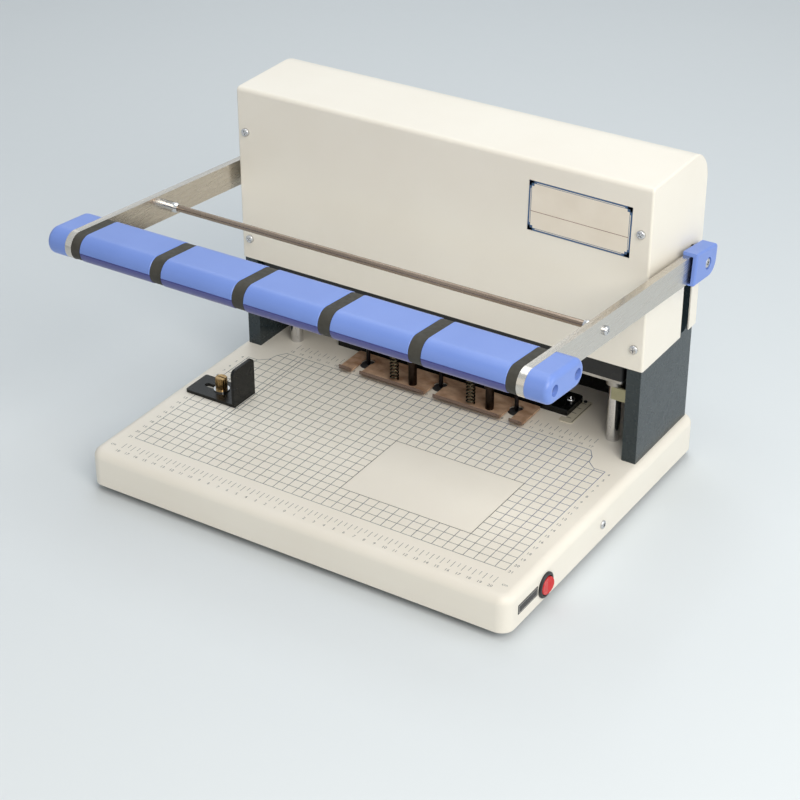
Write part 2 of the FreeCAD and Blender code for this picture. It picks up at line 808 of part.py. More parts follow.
def build_pivot_screws():
    """Screws that clamp caps and arms onto the shaft ends."""
    screws = body("pivot_screws")
    outlines = []
    for side in (-1, 1):
        profile = [("arm_outer - 14", "0"), ("cap_outer - 0.3", "0"), ("cap_outer - 0.3", "2.8"),
                   ("cap_outer - 1", "4.6"), ("cap_outer - 2.5", "4.6"), ("cap_outer - 2.5", "2.5"),
                   ("arm_outer - 14", "2.5")]
        outlines.append([(f"{side} * ({x})", radius) for x, radius in profile])
    lathe(screws, outlines, axis="H_Axis", role="XY_Plane")
    place(screws, "0", "pivot_y", "pivot_z")


def build_tie_rod():
    """Thin rod between the arms, its bright end collars and the screws through the arms."""
    rod = body("tie_rod")
    lathe(rod, [[("-arm_inner + 0.1", "0"), ("arm_inner - 0.1", "0"), ("arm_inner - 0.1", "rod_radius"),
                 ("-arm_inner + 0.1", "rod_radius")]], axis="H_Axis", role="XY_Plane")
    for side in (-1, 1):
        low, high = side_span(side, "arm_inner - 14", "arm_inner - 0.1")
        pocket(rod, "YZ_Plane", low, high, lambda s: circle(s, "0", "0", "1.95"))
    place_on_lever(rod, "rod_reach")

    collars = body("tie_rod_collars")
    screws = body("tie_rod_screws")
    rings = []
    bolts = []
    for side in (-1, 1):
        ring = [("arm_inner - 0.1", "rod_radius + 0.05"), ("arm_inner - 0.1", "4.6"), ("arm_inner - 9", "4.6"),
                ("arm_inner - 12", "3.8"), ("arm_inner - 12", "rod_radius + 0.05")]
        bolt = [("arm_inner - 12", "0"), ("arm_outer + 2.6", "0"), ("arm_outer + 2.6", "2"),
                ("arm_outer + 1.6", "3.6"), ("arm_outer + 0.1", "4"), ("arm_outer + 0.1", "1.9"),
                ("arm_inner - 12", "1.9")]
        rings.append([(f"{side} * ({x})", radius) for x, radius in ring])
        bolts.append([(f"{side} * ({x})", radius) for x, radius in bolt])
    lathe(collars, rings, axis="H_Axis", role="XY_Plane")
    lathe(screws, bolts, axis="H_Axis", role="XY_Plane")
    place_on_lever(collars, "rod_reach")
    place_on_lever(screws, "rod_reach")


def build_grip():
    """Handle of five moulded segments, six rubber bands and two end caps, drawn up by two long bolts."""
    def band_span(step):
        low = f"{step} * grip_step - arm_inner"
        high = f"{low} + band_wide"
        if step == 0:
            high = "end_band - arm_inner"
        if step == 5:
            low = "arm_inner - end_band"
        return low, high

    def grip_outline(extra="0"):
        return lambda s: oblong(s, "-grip_reach", "0", "grip_spread", f"grip_half + ({extra})")

    def bolt_holes(s):
        for step in (-1, 1):
            circle(s, f"{step} * bolt_offset - grip_reach", "0", "bolt_radius + 0.1")

    segments = body("grip_segments")
    for step in range(5):
        low = band_span(step)[1]
        high = band_span(step + 1)[0]
        pad(segments, "YZ_Plane", f"{low} + 0.1", f"{high} - 0.1", grip_outline())
    soften(segments, "Chamfer", "0.6", lambda edge: edge.BoundBox.XLength < 0.01)

    def parting_grooves(s):
        lean = math.radians(8)
        for way in (-1, 1):
            along = f"{way} * (grip_spread + grip_half * {math.cos(lean)}) - grip_reach"
            circle(s, along, f"-grip_half * {math.sin(lean)}", "0.7")
    pocket(segments, "YZ_Plane", "-arm_inner", "arm_inner", parting_grooves)
    pocket(segments, "YZ_Plane", "-arm_inner", "arm_inner", bolt_holes)
    place_on_lever(segments)

    bands = body("grip_bands")
    for step in range(6):
        low, high = band_span(step)
        pad(bands, "YZ_Plane", f"{low} + 0.05", f"{high} - 0.05", grip_outline("-0.4"))
    pocket(bands, "YZ_Plane", "-arm_inner", "arm_inner", bolt_holes)
    place_on_lever(bands)

    ends = body("grip_end_caps")
    for _, side in SIDES:
        low, high = side_span(side, "arm_outer + 0.1", "grip_end")
        pad(ends, "YZ_Plane", low, high, grip_outline())
        soften(ends, "Fillet", "5", lies_at("X", f"{side} * grip_end"))
        pocket(ends, "YZ_Plane", low, high, bolt_holes)
        low, high = side_span(side, "grip_end - 7", "grip_end + 1")

        def recesses(s):
            for step in (-1, 1):
                circle(s, f"{step} * bolt_offset - grip_reach", "0", "4.8")
        pocket(ends, "YZ_Plane", low, high, recesses)
    place_on_lever(ends)

    bolts = body("handle_bolts")

    def rounds(radius):
        def draw(s):
            for step in (-1, 1):
                circle(s, f"{step} * bolt_offset - grip_reach", "0", radius)
        return draw
    pad(bolts, "YZ_Plane", "8 - grip_end", "grip_end - 8", rounds("bolt_radius"))
    for side in (-1, 1):
        low, high = side_span(side, "grip_end - 7", "grip_end - 3.5")
        pad(bolts, "YZ_Plane", low, high, rounds("4.3"))
        low, high = side_span(side, "grip_end - 8", "grip_end - 7")
        pad(bolts, "YZ_Plane", low, high, rounds("bolt_radius"))
        low, high = side_span(side, "grip_end - 5.5", "grip_end - 3")
        pocket(bolts, "YZ_Plane", low, high, rounds("2"))
    place_on_lever(bolts)


# Drill head ---------------------------------------------------------------------------------


def head_outline(s):
    """Plan of the head: a bar that spans both columns."""
    rectangle(s, "-beam_half", "beam_half", "beam_front", "beam_back")


def head_bores(column_bore, spindle_bore, pin_bore):
    """Holes through the head for the guide bushes, spindles and presser pins."""
    def draw(s):
        for side in (-1, 1):
            circle(s, f"{side} * column_x", "column_y", column_bore)
            circle(s, f"drill_x + {side} * pin_x + pin_shift", "pin_y", pin_bore)
        for _, step in DRILLS:
            circle(s, drill_place(step), "drill_y", spindle_bore)
    return draw


def build_head():
    """Cast beam on a steel wear plate, with its bushes, racks and spindle bearings."""
    beam = body("head_beam")
    pad(beam, "XY_Plane", "beam_low", "beam_top", head_outline)
    soften(beam, "Fillet", "3", runs_along((0, 0, 1)))
    pocket(beam, "XY_Plane", "beam_low", "beam_top", head_bores("9", "9", "pin_radius + 0.4"))

    wear = body("wear_plate")
    pad(wear, "XY_Plane", "head_low", "beam_low", head_outline)
    soften(wear, "Fillet", "3", runs_along((0, 0, 1)))
    pocket(wear, "XY_Plane", "head_low", "beam_low", head_bores("9", "9", "pin_radius + 0.4"))

    bushes = body("guide_bushes")
    bush_low = "collar_low + collar_tall + 0.3"

    def sleeve(outer):
        def draw(s):
            for side in (-1, 1):
                circle(s, f"{side} * column_x", "column_y", outer)
                circle(s, f"{side} * column_x", "column_y", "column_radius + 0.06")
        return draw
    pad(bushes, "XY_Plane", bush_low, "beam_top", sleeve("8.9"))
    pad(bushes, "XY_Plane", "beam_top", "beam_top + 3", sleeve("9.6"))

    bearings = body("spindle_bearings")

    def bearing_rings(s):
        for _, step in DRILLS:
            circle(s, drill_place(step), "drill_y", "8.95")
            circle(s, drill_place(step), "drill_y", "spindle_radius + 0.08")
    pad(bearings, "XY_Plane", "head_low + 0.5", "beam_top", bearing_rings)


def build_racks():
    """Racks that stand on the beam's ends in mesh with the sectors."""
    flank = math.tan(math.radians(20))
    root = "rack_pitch_y - 1.24 * module_size"
    for name, side in SIDES:
        rack = body("rack_" + name)
        low, high = side_span(side, "gear_inner - 1", "beam_half")
        pad(rack, "YZ_Plane", low, high,
            lambda s: rectangle(s, "rack_pitch_y - 13", root, "beam_top", "pivot_z + 2 * tooth_step"))
        first = "pivot_z - 6.5 * tooth_step"
        tip = "rack_pitch_y + 0.96 * module_size"
        root_half = f"(tooth_half + {flank} * 1.24 * module_size)"
        tip_half = f"(tooth_half - {flank} * 0.96 * module_size)"
        seed = sketch(rack, "YZ_Plane", low)
        polygon(seed, [(f"{root} - 1", f"{first} - {root_half}"), (root, f"{first} - {root_half}"),
                       (tip, f"{first} - {tip_half}"), (tip, f"{first} + {tip_half}"),
                       (root, f"{first} + {root_half}"), (f"{root} - 1", f"{first} + {root_half}")])
        tooth = rack.newObject("PartDesign::Pad", rack.Label + "_tooth")
        tooth.Profile = seed
        bind(tooth, "Length", f"({high}) - ({low})")
        document.recompute()
        teeth = rack.newObject("PartDesign::LinearPattern", rack.Label + "_teeth")
        teeth.Originals = [tooth]
        teeth.Direction = (plane_of(rack, "Z_Axis"), [""])
        bind(teeth, "Length", "7 * tooth_step")
        teeth.Occurrences = 8
        rack.Tip = teeth
        document.recompute()


def build_spindles():
    """Three spindles with chuck and belt pulley, and the hollow drill held in each."""
    pulley_high = "pulley_low + pulley_tall"
    for name, step in DRILLS:
        spindle = body("spindle_" + name)
        chuck_low = "head_low - chuck_tall"
        profile = [("drill_radius + 0.02", chuck_low), ("4", chuck_low), ("chuck_radius", f"{chuck_low} + 6"),
                   ("chuck_radius", "head_low - 1"), ("spindle_radius", "head_low - 1"),
                   ("spindle_radius", pulley_high), ("0", pulley_high), ("0", f"{chuck_low} + 14"),
                   ("drill_radius + 0.02", f"{chuck_low} + 14")]
        lathe(spindle, [profile])
        place(spindle, drill_place(step), "drill_y", "0")

        pulley = body("spindle_pulley_" + name)
        wheel = [("spindle_radius + 0.02", "pulley_low"), ("pulley_radius + 2.4", "pulley_low"),
                 ("pulley_radius + 2.4", "pulley_low + 1.2"), ("pulley_radius", "pulley_low + 1.6"),
                 ("pulley_radius", f"{pulley_high} - 1.6"), ("pulley_radius + 2.4", f"{pulley_high} - 1.2"),
                 ("pulley_radius + 2.4", pulley_high), ("spindle_radius + 0.02", pulley_high)]
        lathe(pulley, [wheel])
        place(pulley, drill_place(step), "drill_y", "0")

        drill = body("drill_bit_" + name)
        point = [("1.4", "drill_tip"), ("drill_radius", "drill_tip + 1.6"), ("drill_radius", f"{chuck_low} + 13.5"),
                 ("0", f"{chuck_low} + 13.5"), ("0", f"{chuck_low} + 8"), ("1.3", f"{chuck_low} + 8"),
                 ("1.3", "drill_tip")]
        lathe(drill, [point])
        place(drill, drill_place(step), "drill_y", "0")


def belt_circles(extra):
    """The pulleys that the belt wraps, in order round it, grown by some clearance."""
    return [(drill_place(-1), "drill_y", f"pulley_radius + {extra}"),
            (drill_place(1), "drill_y", f"pulley_radius + {extra}"),
            ("motor_x", "motor_y", f"motor_pulley + {extra}")]


def build_belt():
    """Flat belt pulled round the outer spindle pulleys and the motor pulley."""
    belt = body("drive_belt")

    def loops(s):
        loop_round(s, belt_circles("0.3 + belt_plate"))
        loop_round(s, belt_circles("0.3"))
    pad(belt, "XY_Plane", "belt_low", "belt_low + belt_wide", loops)


def build_motor():
    """Motor in a stepped housing on a bracket over the beam's right end, its shaft and pulley below."""
    bracket = body("motor_bracket")

    def plate_outline(s):
        polygon(s, [("motor_x - 32", "beam_back - 4"), ("motor_x - 32", "motor_y - 8"),
                    ("motor_x - 8", "beam_front + 4"), ("motor_x + 32", "beam_front + 4"),
                    ("motor_x + 32", "beam_back + 4"), ("motor_x - 32", "beam_back + 4")])
        circle(s, "motor_x", "motor_y", "6")
    pad(bracket, "XY_Plane", "motor_low - 4", "motor_low", plate_outline)

    def posts(s):
        circle(s, "motor_x + 26", "beam_front + 10", "4")
        circle(s, "motor_x - 18.5", "motor_y - 11", "3.5")
        circle(s, "motor_x + 26", "beam_back - 4.2", "4")
    pad(bracket, "XY_Plane", "beam_top", "motor_low - 4", posts)

    motor = body("motor_housing")
    top = "motor_low + motor_tall"
    lathe(motor, [[("4.3", "motor_low"), ("motor_radius - 6", "motor_low"), ("motor_radius - 6", "motor_low + 5"),
                   ("motor_radius", "motor_low + 9"), ("motor_radius", f"{top} - 12"),
                   ("motor_radius - 4", f"{top} - 8"), ("motor_radius - 4", f"{top} - 3"),
                   ("motor_radius - 8", top), ("0", top), ("0", f"{top} - 12"), ("4.3", f"{top} - 12")]])
    place(motor, "motor_x", "motor_y", "0")

    pulley = body("motor_pulley")
    high = "pulley_low + pulley_tall"
    lathe(pulley, [[("0", "pulley_low"), ("motor_pulley + 2.4", "pulley_low"),
                    ("motor_pulley + 2.4", "pulley_low + 1.2"), ("motor_pulley", "pulley_low + 1.6"),
                    ("motor_pulley", f"{high} - 1.6"), ("motor_pulley + 2.4", f"{high} - 1.2"),
                    ("motor_pulley + 2.4", high), ("4", high), ("4", f"{top} - 13"), ("0", f"{top} - 13")]])
    place(pulley, "motor_x", "motor_y", "0")


# Presser ------------------------------------------------------------------------------------


def build_presser():
    """Clamp plate with a turned-up front lip and a keyhole notch at each drill, hung on two pins."""
    plate = body("presser_plate")

    def section(s):
        polygon(s, [("presser_back", "presser_low"), ("presser_back", "presser_top"),
                    ("presser_front + 5.2", "presser_top"), ("presser_front + 1.4", "presser_top + lip_rise"),
                    ("presser_front", "presser_low + lip_rise"), ("presser_front + 4.2", "presser_low")])
    pad(plate, "YZ_Plane", "drill_x - presser_half", "drill_x + presser_half", section)

    def notches(s):
        for _, step in DRILLS:
            upright(s, drill_place(step), "presser_front - 10", "drill_y", "notch_radius")
    pocket(plate, "XY_Plane", "presser_low - 1", "presser_top + lip_rise + 1", notches)

    def flares(s):
        for step in (-1, 0, 1):
            middle = drill_place(step)
            polygon(s, [(f"{middle} - notch_radius - 4", "presser_front - 1"),
                        (f"{middle} + notch_radius + 4", "presser_front - 1"),
                        (f"{middle} + notch_radius - 1", "presser_front + 4"),
                        (f"{middle} - notch_radius + 1", "presser_front + 4")])
        for side in (-1, 1):
            end = f"drill_x + {side} * presser_half"
            polygon(s, [(f"{end} + {side}", "presser_front - 1"), (f"{end} - {side} * 4", "presser_front - 1"),
                        (f"{end} + {side}", "presser_front + 4")])
    pocket(plate, "XY_Plane", "presser_low - 1", "presser_top + lip_rise + 1", flares)

    def widenings(s):
        for _, step in DRILLS:
            circle(s, drill_place(step), "drill_y", "notch_radius + 1.5")
    pocket(plate, "XY_Plane", "presser_low - 1", "presser_top + lip_rise + 1", widenings)
    near_front = number("presser_front + 12")
    soften(plate, "Fillet", "2", lambda edge: runs_along((0, 0, 1))(edge) and edge.BoundBox.YMin > near_front
           and abs(abs(edge.BoundBox.XMin - number("drill_x")) - number("presser_half")) < 0.01)

    pins = body("presser_pins")

    def rounds(radius):
        def draw(s):
            for side in (-1, 1):
                circle(s, f"drill_x + {side} * pin_x + pin_shift", "pin_y", radius)
        return draw
    pad(pins, "XY_Plane", "presser_top", "beam_top + 6", rounds("pin_radius"))
    pad(pins, "XY_Plane", "presser_top", "presser_top + 22", rounds("pin_sleeve"))
    pad(pins, "XY_Plane", "presser_top + 22", "presser_top + 27", rounds("pin_sleeve + 1"))
    pad(pins, "XY_Plane", "beam_top + 0.3", "beam_top + 4.5", rounds("pin_radius + 1.2"))

    springs = body("presser_springs")

    def sleeves(s):
        for side in (-1, 1):
            circle(s, f"drill_x + {side} * pin_x", "spring_y", "spring_radius")
            circle(s, f"drill_x + {side} * pin_x", "spring_y", "spring_radius - spring_wire")
    pad(springs, "XY_Plane", "presser_top + 0.1", "head_low - 0.1", sleeves)


# Table stops --------------------------------------------------------------------------------


def build_side_stop():
    """L-shaped side stop that slides under its thumb screw."""
    stop = body("side_stop")
    low = "table_top + 0.2"
    pad(stop, "XY_Plane", low, f"{low} + stop_sheet",
        lambda s: rectangle(s, "stop_left", "stop_right", "stop_front", "stop_back"))
    soften(stop, "Fillet", "2", both(runs_along((0, 0, 1)), lies_at("X", "stop_left")))
    pad(stop, "YZ_Plane", "stop_right - stop_sheet", "stop_right",
        lambda s: rectangle(s, "stop_front", "stop_back", low, "table_top + stop_rise"))
    soften(stop, "Fillet", "5", both(runs_along((1, 0, 0)), lies_at("Z", "table_top + stop_rise")))
    pocket(stop, "XY_Plane", low, f"{low} + stop_sheet",
           lambda s: oblong(s, "stop_screw_x - 6", "stop_screw_y", "10", "3"))

    screw = body("stop_screw")
    top = f"{low} + stop_sheet + 1.3"
    lathe(screw, [[("0", "table_top - 6"), ("2.5", "table_top - 6"), ("2.5", top), ("5.6", top),
                   ("5.6", f"{top} + 11.4"), ("5", f"{top} + 12"), ("0", f"{top} + 12")]])
    groove = sketch(screw, "XY_Plane", f"{top} + 12")
    circle(groove, "5.9", "0", "0.7")
    cut = screw.newObject("PartDesign::Pocket", "stop_screw_groove")
    cut.Profile = groove
    cut.Length = 10
    document.recompute()
    knurl = screw.newObject("PartDesign::PolarPattern", "stop_screw_knurl")
    knurl.Originals = [cut]
    knurl.Axis = (plane_of(screw, "Z_Axis"), [""])
    knurl.Angle = 360
    knurl.Occurrences = 16
    screw.Tip = knurl
    document.recompute()
    pocket(screw, "XY_Plane", f"{top} + 10.6", f"{top} + 12", lambda s: rectangle(s, "-6", "6", "-0.6", "0.6"))
    place(screw, "stop_screw_x", "stop_screw_y", "0")

    washer = body("stop_washer")

    def ring(s):
        circle(s, "stop_screw_x", "stop_screw_y", "7.4")
        circle(s, "stop_screw_x", "stop_screw_y", "2.6")
    pad(washer, "XY_Plane", f"{low} + stop_sheet + 0.1", f"{top} - 0.05", ring)


def build_rear_gauge():
    """Bar that the paper's far edge meets, slotted at both ends for its clamp screws."""
    gauge = body("rear_gauge")
    low = "table_top + 0.2"
    middle = "(gauge_left + gauge_right) / 2"
    back = "gauge_front + gauge_deep"
    pad(gauge, "XY_Plane", low, "table_top + gauge_tall",
        lambda s: rectangle(s, "gauge_left", "gauge_right", "gauge_front", back))
    soften(gauge, "Fillet", "3", both(runs_along((0, 0, 1)), lies_at("Y", back)))
    soften(gauge, "Chamfer", "0.6", lies_at("Z", "table_top + gauge_tall"))

    def slots(s):
        for across in (-1, 1):
            upright(s, f"{middle} + {across} * gauge_slot_x", "gauge_front + 9", "gauge_front + 23", "2.3")
    pocket(gauge, "XY_Plane", low, "table_top + gauge_tall", slots)

    screws = body("gauge_screws")

    def rounds(radius):
        def draw(s):
            for across in (-1, 1):
                circle(s, f"{middle} + {across} * gauge_slot_x", "gauge_front + 18", radius)
        return draw
    pad(screws, "XY_Plane", "table_top - base_wall - 4", "table_top + gauge_tall + 0.3", rounds("2"))
    pad(screws, "XY_Plane", "table_top + gauge_tall + 0.3", "table_top + gauge_tall + 2.8", rounds("4"))
    soften(screws, "Chamfer", "1", lies_at("Z", "table_top + gauge_tall + 2.8"))


# Power switch and inlet ---------------------------------------------------------------------


def build_switch():
    """Round rocker switch in the base's right side: a bezel with its barrel, and the rocker on two pins."""
    face = "base_width / 2"
    bezel = body("switch_bezel")
    lathe(bezel, [[("-16", "0"), ("-16", "9.8"), ("0", "9.8"), ("0", "bezel_radius"), ("1.4", "bezel_radius"),
                   ("2.2", "bezel_radius - 1.2"), ("2.2", "9"), ("-6", "9"), ("-6", "0")]],
          axis="H_Axis", role="XY_Plane")
    pocket(bezel, "XY_Plane", "-9.8", "9.8", lambda s: circle(s, "rocker_pivot", "0", "rocker_pin + 0.06"))
    place(bezel, face, "switch_y", "switch_z")

    rocker = body("switch_rocker")
    lathe(rocker, [[("-3.4", "0"), ("-3.4", "rocker_radius - 1"), ("-2.4", "rocker_radius"),
                    ("1.6", "rocker_radius"), ("2.6", "rocker_radius - 0.9"), ("2.6", "0")]],
          axis="H_Axis", role="XY_Plane")
    pocket(rocker, "XY_Plane", "-rocker_radius - 1", "rocker_radius + 1",
           lambda s: polygon(s, [("4", "-rocker_radius - 1"), ("4", "rocker_radius + 1"),
                                 ("2.6", "rocker_radius + 1"), ("1.5", "0"), ("2.6", "-rocker_radius - 1")]))
    pad(rocker, "XY_Plane", "-9.6", "9.6", lambda s: circle(s, "0", "0", "rocker_pin"))
    place(rocker, f"{face} + rocker_pivot", "switch_y", "switch_z", axis=(0, 0, 1), turn="-rocker_tilt")


def build_inlet():
    """Three-pin power inlet let into the back of the base."""
    back = "base_depth / 2"
    inlet = body("power_inlet")
    pad(inlet, "XZ_Plane", f"{back} - 22", f"{back} - 0.3",
        lambda s: rectangle(s, "inlet_x - 13.8", "inlet_x + 13.8", "inlet_z - 10", "inlet_z + 10"))

    def socket(s):
        polygon(s, [("inlet_x - 11.5", "inlet_z - 7.5"), ("inlet_x + 11.5", "inlet_z - 7.5"),
                    ("inlet_x + 11.5", "inlet_z + 3"), ("inlet_x + 7", "inlet_z + 7.5"),
                    ("inlet_x - 7", "inlet_z + 7.5"), ("inlet_x - 11.5", "inlet_z + 3")])
    pocket(inlet, "XZ_Plane", f"{back} - 16.3", f"{back} - 0.3", socket)

    def blades(s):
        for across, rise in ((-7, -1), (0, 2.5), (7, -1)):
            rectangle(s, f"inlet_x + {across} - 1", f"inlet_x + {across} + 1", f"inlet_z + {rise} - 2",
                      f"inlet_z + {rise} + 2")
    pad(inlet, "XZ_Plane", f"{back} - 17", f"{back} - 3", blades)


# Build, check and write ---------------------------------------------------------------------


def check_document():
    """Stop if any object failed, or any sub-part has no sound solid."""
    document.recompute()
    for item in document.Objects:
        if "Invalid" in item.State or "Error" in item.State:
            raise RuntimeError(f"{item.Label} is {item.State}")
    for node in nodes:
        if node.Shape.isNull() or not node.Shape.isValid() or not node.Shape.Solids:
            raise RuntimeError(f"{node.Label} has no sound solid")


def write_steps():
    """Write each sub-part's shape to its own file."""
    os.makedirs("parts", exist_ok=True)
    for node in nodes:
        node.Shape.exportStep(f"parts/{node.Label}.step")


fill_sheet()
build_base_shell()
build_bottom_plate()
build_base_screws()
build_feet()
build_rails()
build_drill_pads()
build_side_frames()
build_back_panel()
build_crossbar()
build_column_brackets()
build_columns()
build_shaft_bearings()
build_cover()
build_cover_screws()
build_lever_shaft()
build_sector_gears()
build_lever_arms()
build_pivot_caps()
build_pivot_screws()
build_tie_rod()
build_grip()
build_head()
build_racks()
build_spindles()
build_belt()
build_motor()
build_presser()
build_side_stop()
build_rear_gauge()
build_switch()
build_inlet()
check_document()
write_steps()
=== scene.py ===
import math

import bpy
from mathutils import Euler, Matrix, Vector


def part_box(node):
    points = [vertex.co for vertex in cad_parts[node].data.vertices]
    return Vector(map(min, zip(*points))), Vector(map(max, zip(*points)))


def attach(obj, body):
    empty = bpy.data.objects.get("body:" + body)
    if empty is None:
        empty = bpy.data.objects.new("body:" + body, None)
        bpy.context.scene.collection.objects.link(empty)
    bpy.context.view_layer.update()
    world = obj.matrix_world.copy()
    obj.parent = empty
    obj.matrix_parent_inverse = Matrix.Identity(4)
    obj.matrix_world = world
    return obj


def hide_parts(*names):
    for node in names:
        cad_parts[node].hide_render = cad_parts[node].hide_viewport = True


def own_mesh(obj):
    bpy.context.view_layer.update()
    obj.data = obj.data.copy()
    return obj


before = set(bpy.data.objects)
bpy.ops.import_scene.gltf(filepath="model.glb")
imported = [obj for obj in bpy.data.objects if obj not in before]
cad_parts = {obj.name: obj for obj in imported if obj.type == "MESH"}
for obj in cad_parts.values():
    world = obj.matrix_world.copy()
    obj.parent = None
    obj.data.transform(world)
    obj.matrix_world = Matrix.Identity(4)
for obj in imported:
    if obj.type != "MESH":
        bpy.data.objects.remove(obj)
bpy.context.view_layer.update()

mm = 0.001


# Rubber feet ---------------------------------------------------------------------------------
# Four tapered feet, moulded in black rubber, each held to the bottom plate by one screw.
# Moulded rubber is matt, a little dusty, and finely pitted all over.

def add_node(finish, kind, settings, inputs):
    """Put one shader node in a finish, set its choices, and fill or wire its inputs."""
    made = finish.node_tree.nodes.new("ShaderNode" + kind)
    for name, value in settings.items():
        setattr(made, name, value)
    for name, value in inputs.items():
        if isinstance(value, bpy.types.NodeSocket):
            finish.node_tree.links.new(value, made.inputs[name])
        else:
            made.inputs[name].default_value = value
    return made


def start_finish(name, **settings):
    """A new finish with its plain shader values, such as metallic=1.0."""
    finish = bpy.data.materials.new(name)
    finish.use_nodes = True
    shader = finish.node_tree.nodes["Principled BSDF"]
    for word, value in settings.items():
        shader.inputs[word.replace("_", " ").title().replace("Ior", "IOR")].default_value = value
    return finish


def wire(finish, socket, value):
    """Wire a node's output to the finish's shader."""
    shader = finish.node_tree.nodes["Principled BSDF"]
    finish.node_tree.links.new(value, shader.inputs[socket])


def along(finish, stretch=(1.0, 1.0, 1.0)):
    """Where a point lies on the object, multiplied along each axis by the stretch."""
    place = add_node(finish, "TexCoord", {}, {}).outputs["Object"]
    return add_node(finish, "Mapping", {}, {"Vector": place, "Scale": stretch}).outputs[0]


def grain(finish, place, grains_per_metre, detail=3.0):
    """A cloudy value from 0 to 1 whose patches come about this many to the metre."""
    clouds = {"Vector": place, "Scale": grains_per_metre, "Detail": detail}
    return add_node(finish, "TexNoise", {}, clouds).outputs[0]


def between(finish, value, low, high, start=0.3, end=0.7):
    """Turn a value that runs from start to end into one that runs from low to high."""
    ends = {"Value": value, "From Min": start, "From Max": end, "To Min": low, "To Max": high}
    return add_node(finish, "MapRange", {}, ends).outputs[0]


def two_tones(finish, factor, first, second):
    """Mix two colours by a value from 0 to 1."""
    # A Mix node has its colours at inputs 6 and 7, and gives their blend at output 2.
    tones = {"Factor": factor, 6: first, 7: second}
    return add_node(finish, "Mix", {"data_type": "RGBA"}, tones).outputs[2]


def mottle(finish, clouds, tone, shade):
    """Colour a finish in two tones, one for each end of a cloudy value."""
    wire(finish, "Base Color", two_tones(finish, between(finish, clouds, 0, 1), tone, shade))


def dents(finish, height, depth):
    """A surface relief from a value, this many metres deep."""
    relief = {"Height": height, "Distance": depth, "Strength": 1.0}
    return add_node(finish, "Bump", {}, relief).outputs[0]


def paint(red, green, blue):
    """A colour given as it looks on a screen, from 11 to 255, turned to plain strengths of light."""
    return tuple(((part / 255 + 0.055) / 1.055) ** 2.4 for part in (red, green, blue)) + (1.0,)


def finish_nodes(finish, *names):
    """Give CAD nodes their finish."""
    for name in names:
        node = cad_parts[name]
        if not node.material_slots:
            node.data.materials.append(finish)
        for place in node.material_slots:
            place.material = finish


def moulded_rubber(name, tone, dusty):
    """Black rubber with dust in its fine pits."""
    finish = start_finish(name, specular_ior_level=0.35)
    place = along(finish)
    mottle(finish, grain(finish, place, 90), tone, dusty)
    wire(finish, "Roughness", between(finish, grain(finish, place, 260), 0.62, 0.85))
    wire(finish, "Normal", dents(finish, grain(finish, place, 1400), 0.12 * mm))
    return finish


foot_rubber = moulded_rubber("foot_rubber", paint(38, 38, 40), paint(62, 61, 60))
finish_nodes(foot_rubber, "rubber_feet")


# Bottom plate and rails ----------------------------------------------------------------------
# A zinc-plated sheet closes the base, with the flat steel rails that carry the frames above it.
# Both are mill finished: dull, faintly streaked, and spangled by the plating.

def dull_metal(name, tone, shade):
    """Dull plated, ground or cast metal, clouded in colour, with streaks along X."""
    finish = start_finish(name, metallic=1.0)
    streaks = grain(finish, along(finish, (6.0, 160.0, 160.0)), 4)
    mottle(finish, grain(finish, along(finish), 55), tone, shade)
    wire(finish, "Roughness", between(finish, streaks, 0.28, 0.48))
    wire(finish, "Normal", dents(finish, streaks, 0.04 * mm))
    return finish


zinc = dull_metal("zinc_plate", paint(178, 180, 184), paint(150, 152, 158))
finish_nodes(zinc, "base_bottom_plate", "frame_rails")


# Base shell ----------------------------------------------------------------------------------
# The table: a pressed sheet-steel pan turned over, powder coated in ivory.
# The coat is satin, with a shallow orange peel and the faintest yellowing in broad patches.

def powder_coat(name, tone, shade, rough, peel=0.03 * mm, sheen=0.45):
    """Baked paint on sheet steel."""
    finish = start_finish(name, specular_ior_level=sheen)
    place = along(finish)
    mottle(finish, grain(finish, place, 9), tone, shade)
    wire(finish, "Roughness", between(finish, grain(finish, place, 120), rough - 0.05, rough + 0.06))
    wire(finish, "Normal", dents(finish, grain(finish, place, 480, 1.0), peel))
    return finish


ivory_coat = powder_coat("ivory_coat", paint(240, 236, 226), paint(236, 231, 220), 0.40)
finish_nodes(ivory_coat, "base_shell")


# Table grid ----------------------------------------------------------------------------------
# A centimetre grid is screen printed on the table to lay the paper by. It steps in at the back
# corners, leaves one panel bare at the front right, and marks one corner of the paper.

table_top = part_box("base_shell")[1][2]
print_thick = 0.06 * mm
cell = 10 * mm
grid_front = -134 * mm


def open_mesh(name):
    """Start an empty piece at the origin, and leave it open in edit mode."""
    bpy.ops.object.select_all(action="DESELECT")
    bpy.ops.mesh.primitive_plane_add(size=1)
    bpy.context.object.name = name
    bpy.context.object.data.name = name
    bpy.ops.object.mode_set(mode="EDIT")
    bpy.ops.mesh.delete(type="VERT")


def close_mesh(finish, body, slot, *replaced):
    """Leave edit mode, and give the active piece its finish and the body it rides on; the slot is not
    used.
    """
    if bpy.context.mode == "EDIT_MESH":
        bpy.ops.object.mode_set(mode="OBJECT")
    piece = bpy.context.object
    piece.data.materials.clear()
    piece.data.materials.append(finish)
    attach(piece, body)
    if replaced:
        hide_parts(*replaced)
    return piece


def on_table(across, inward):
    """Where a point of the printed grid lies, counted in its cells from the front row's middle."""
    return Vector((across * cell, inward * cell + grid_front, table_top + print_thick / 2))


def print_line(start, end, width):
    """Print one straight line between two points of the grid."""
    first, last = on_table(*start), on_table(*end)
    run = last - first
    bpy.ops.mesh.primitive_cube_add(size=1, location=(first + last) / 2,
                                    rotation=(0, 0, math.atan2(run.y, run.x)),
                                    scale=(run.length + width, width, print_thick))


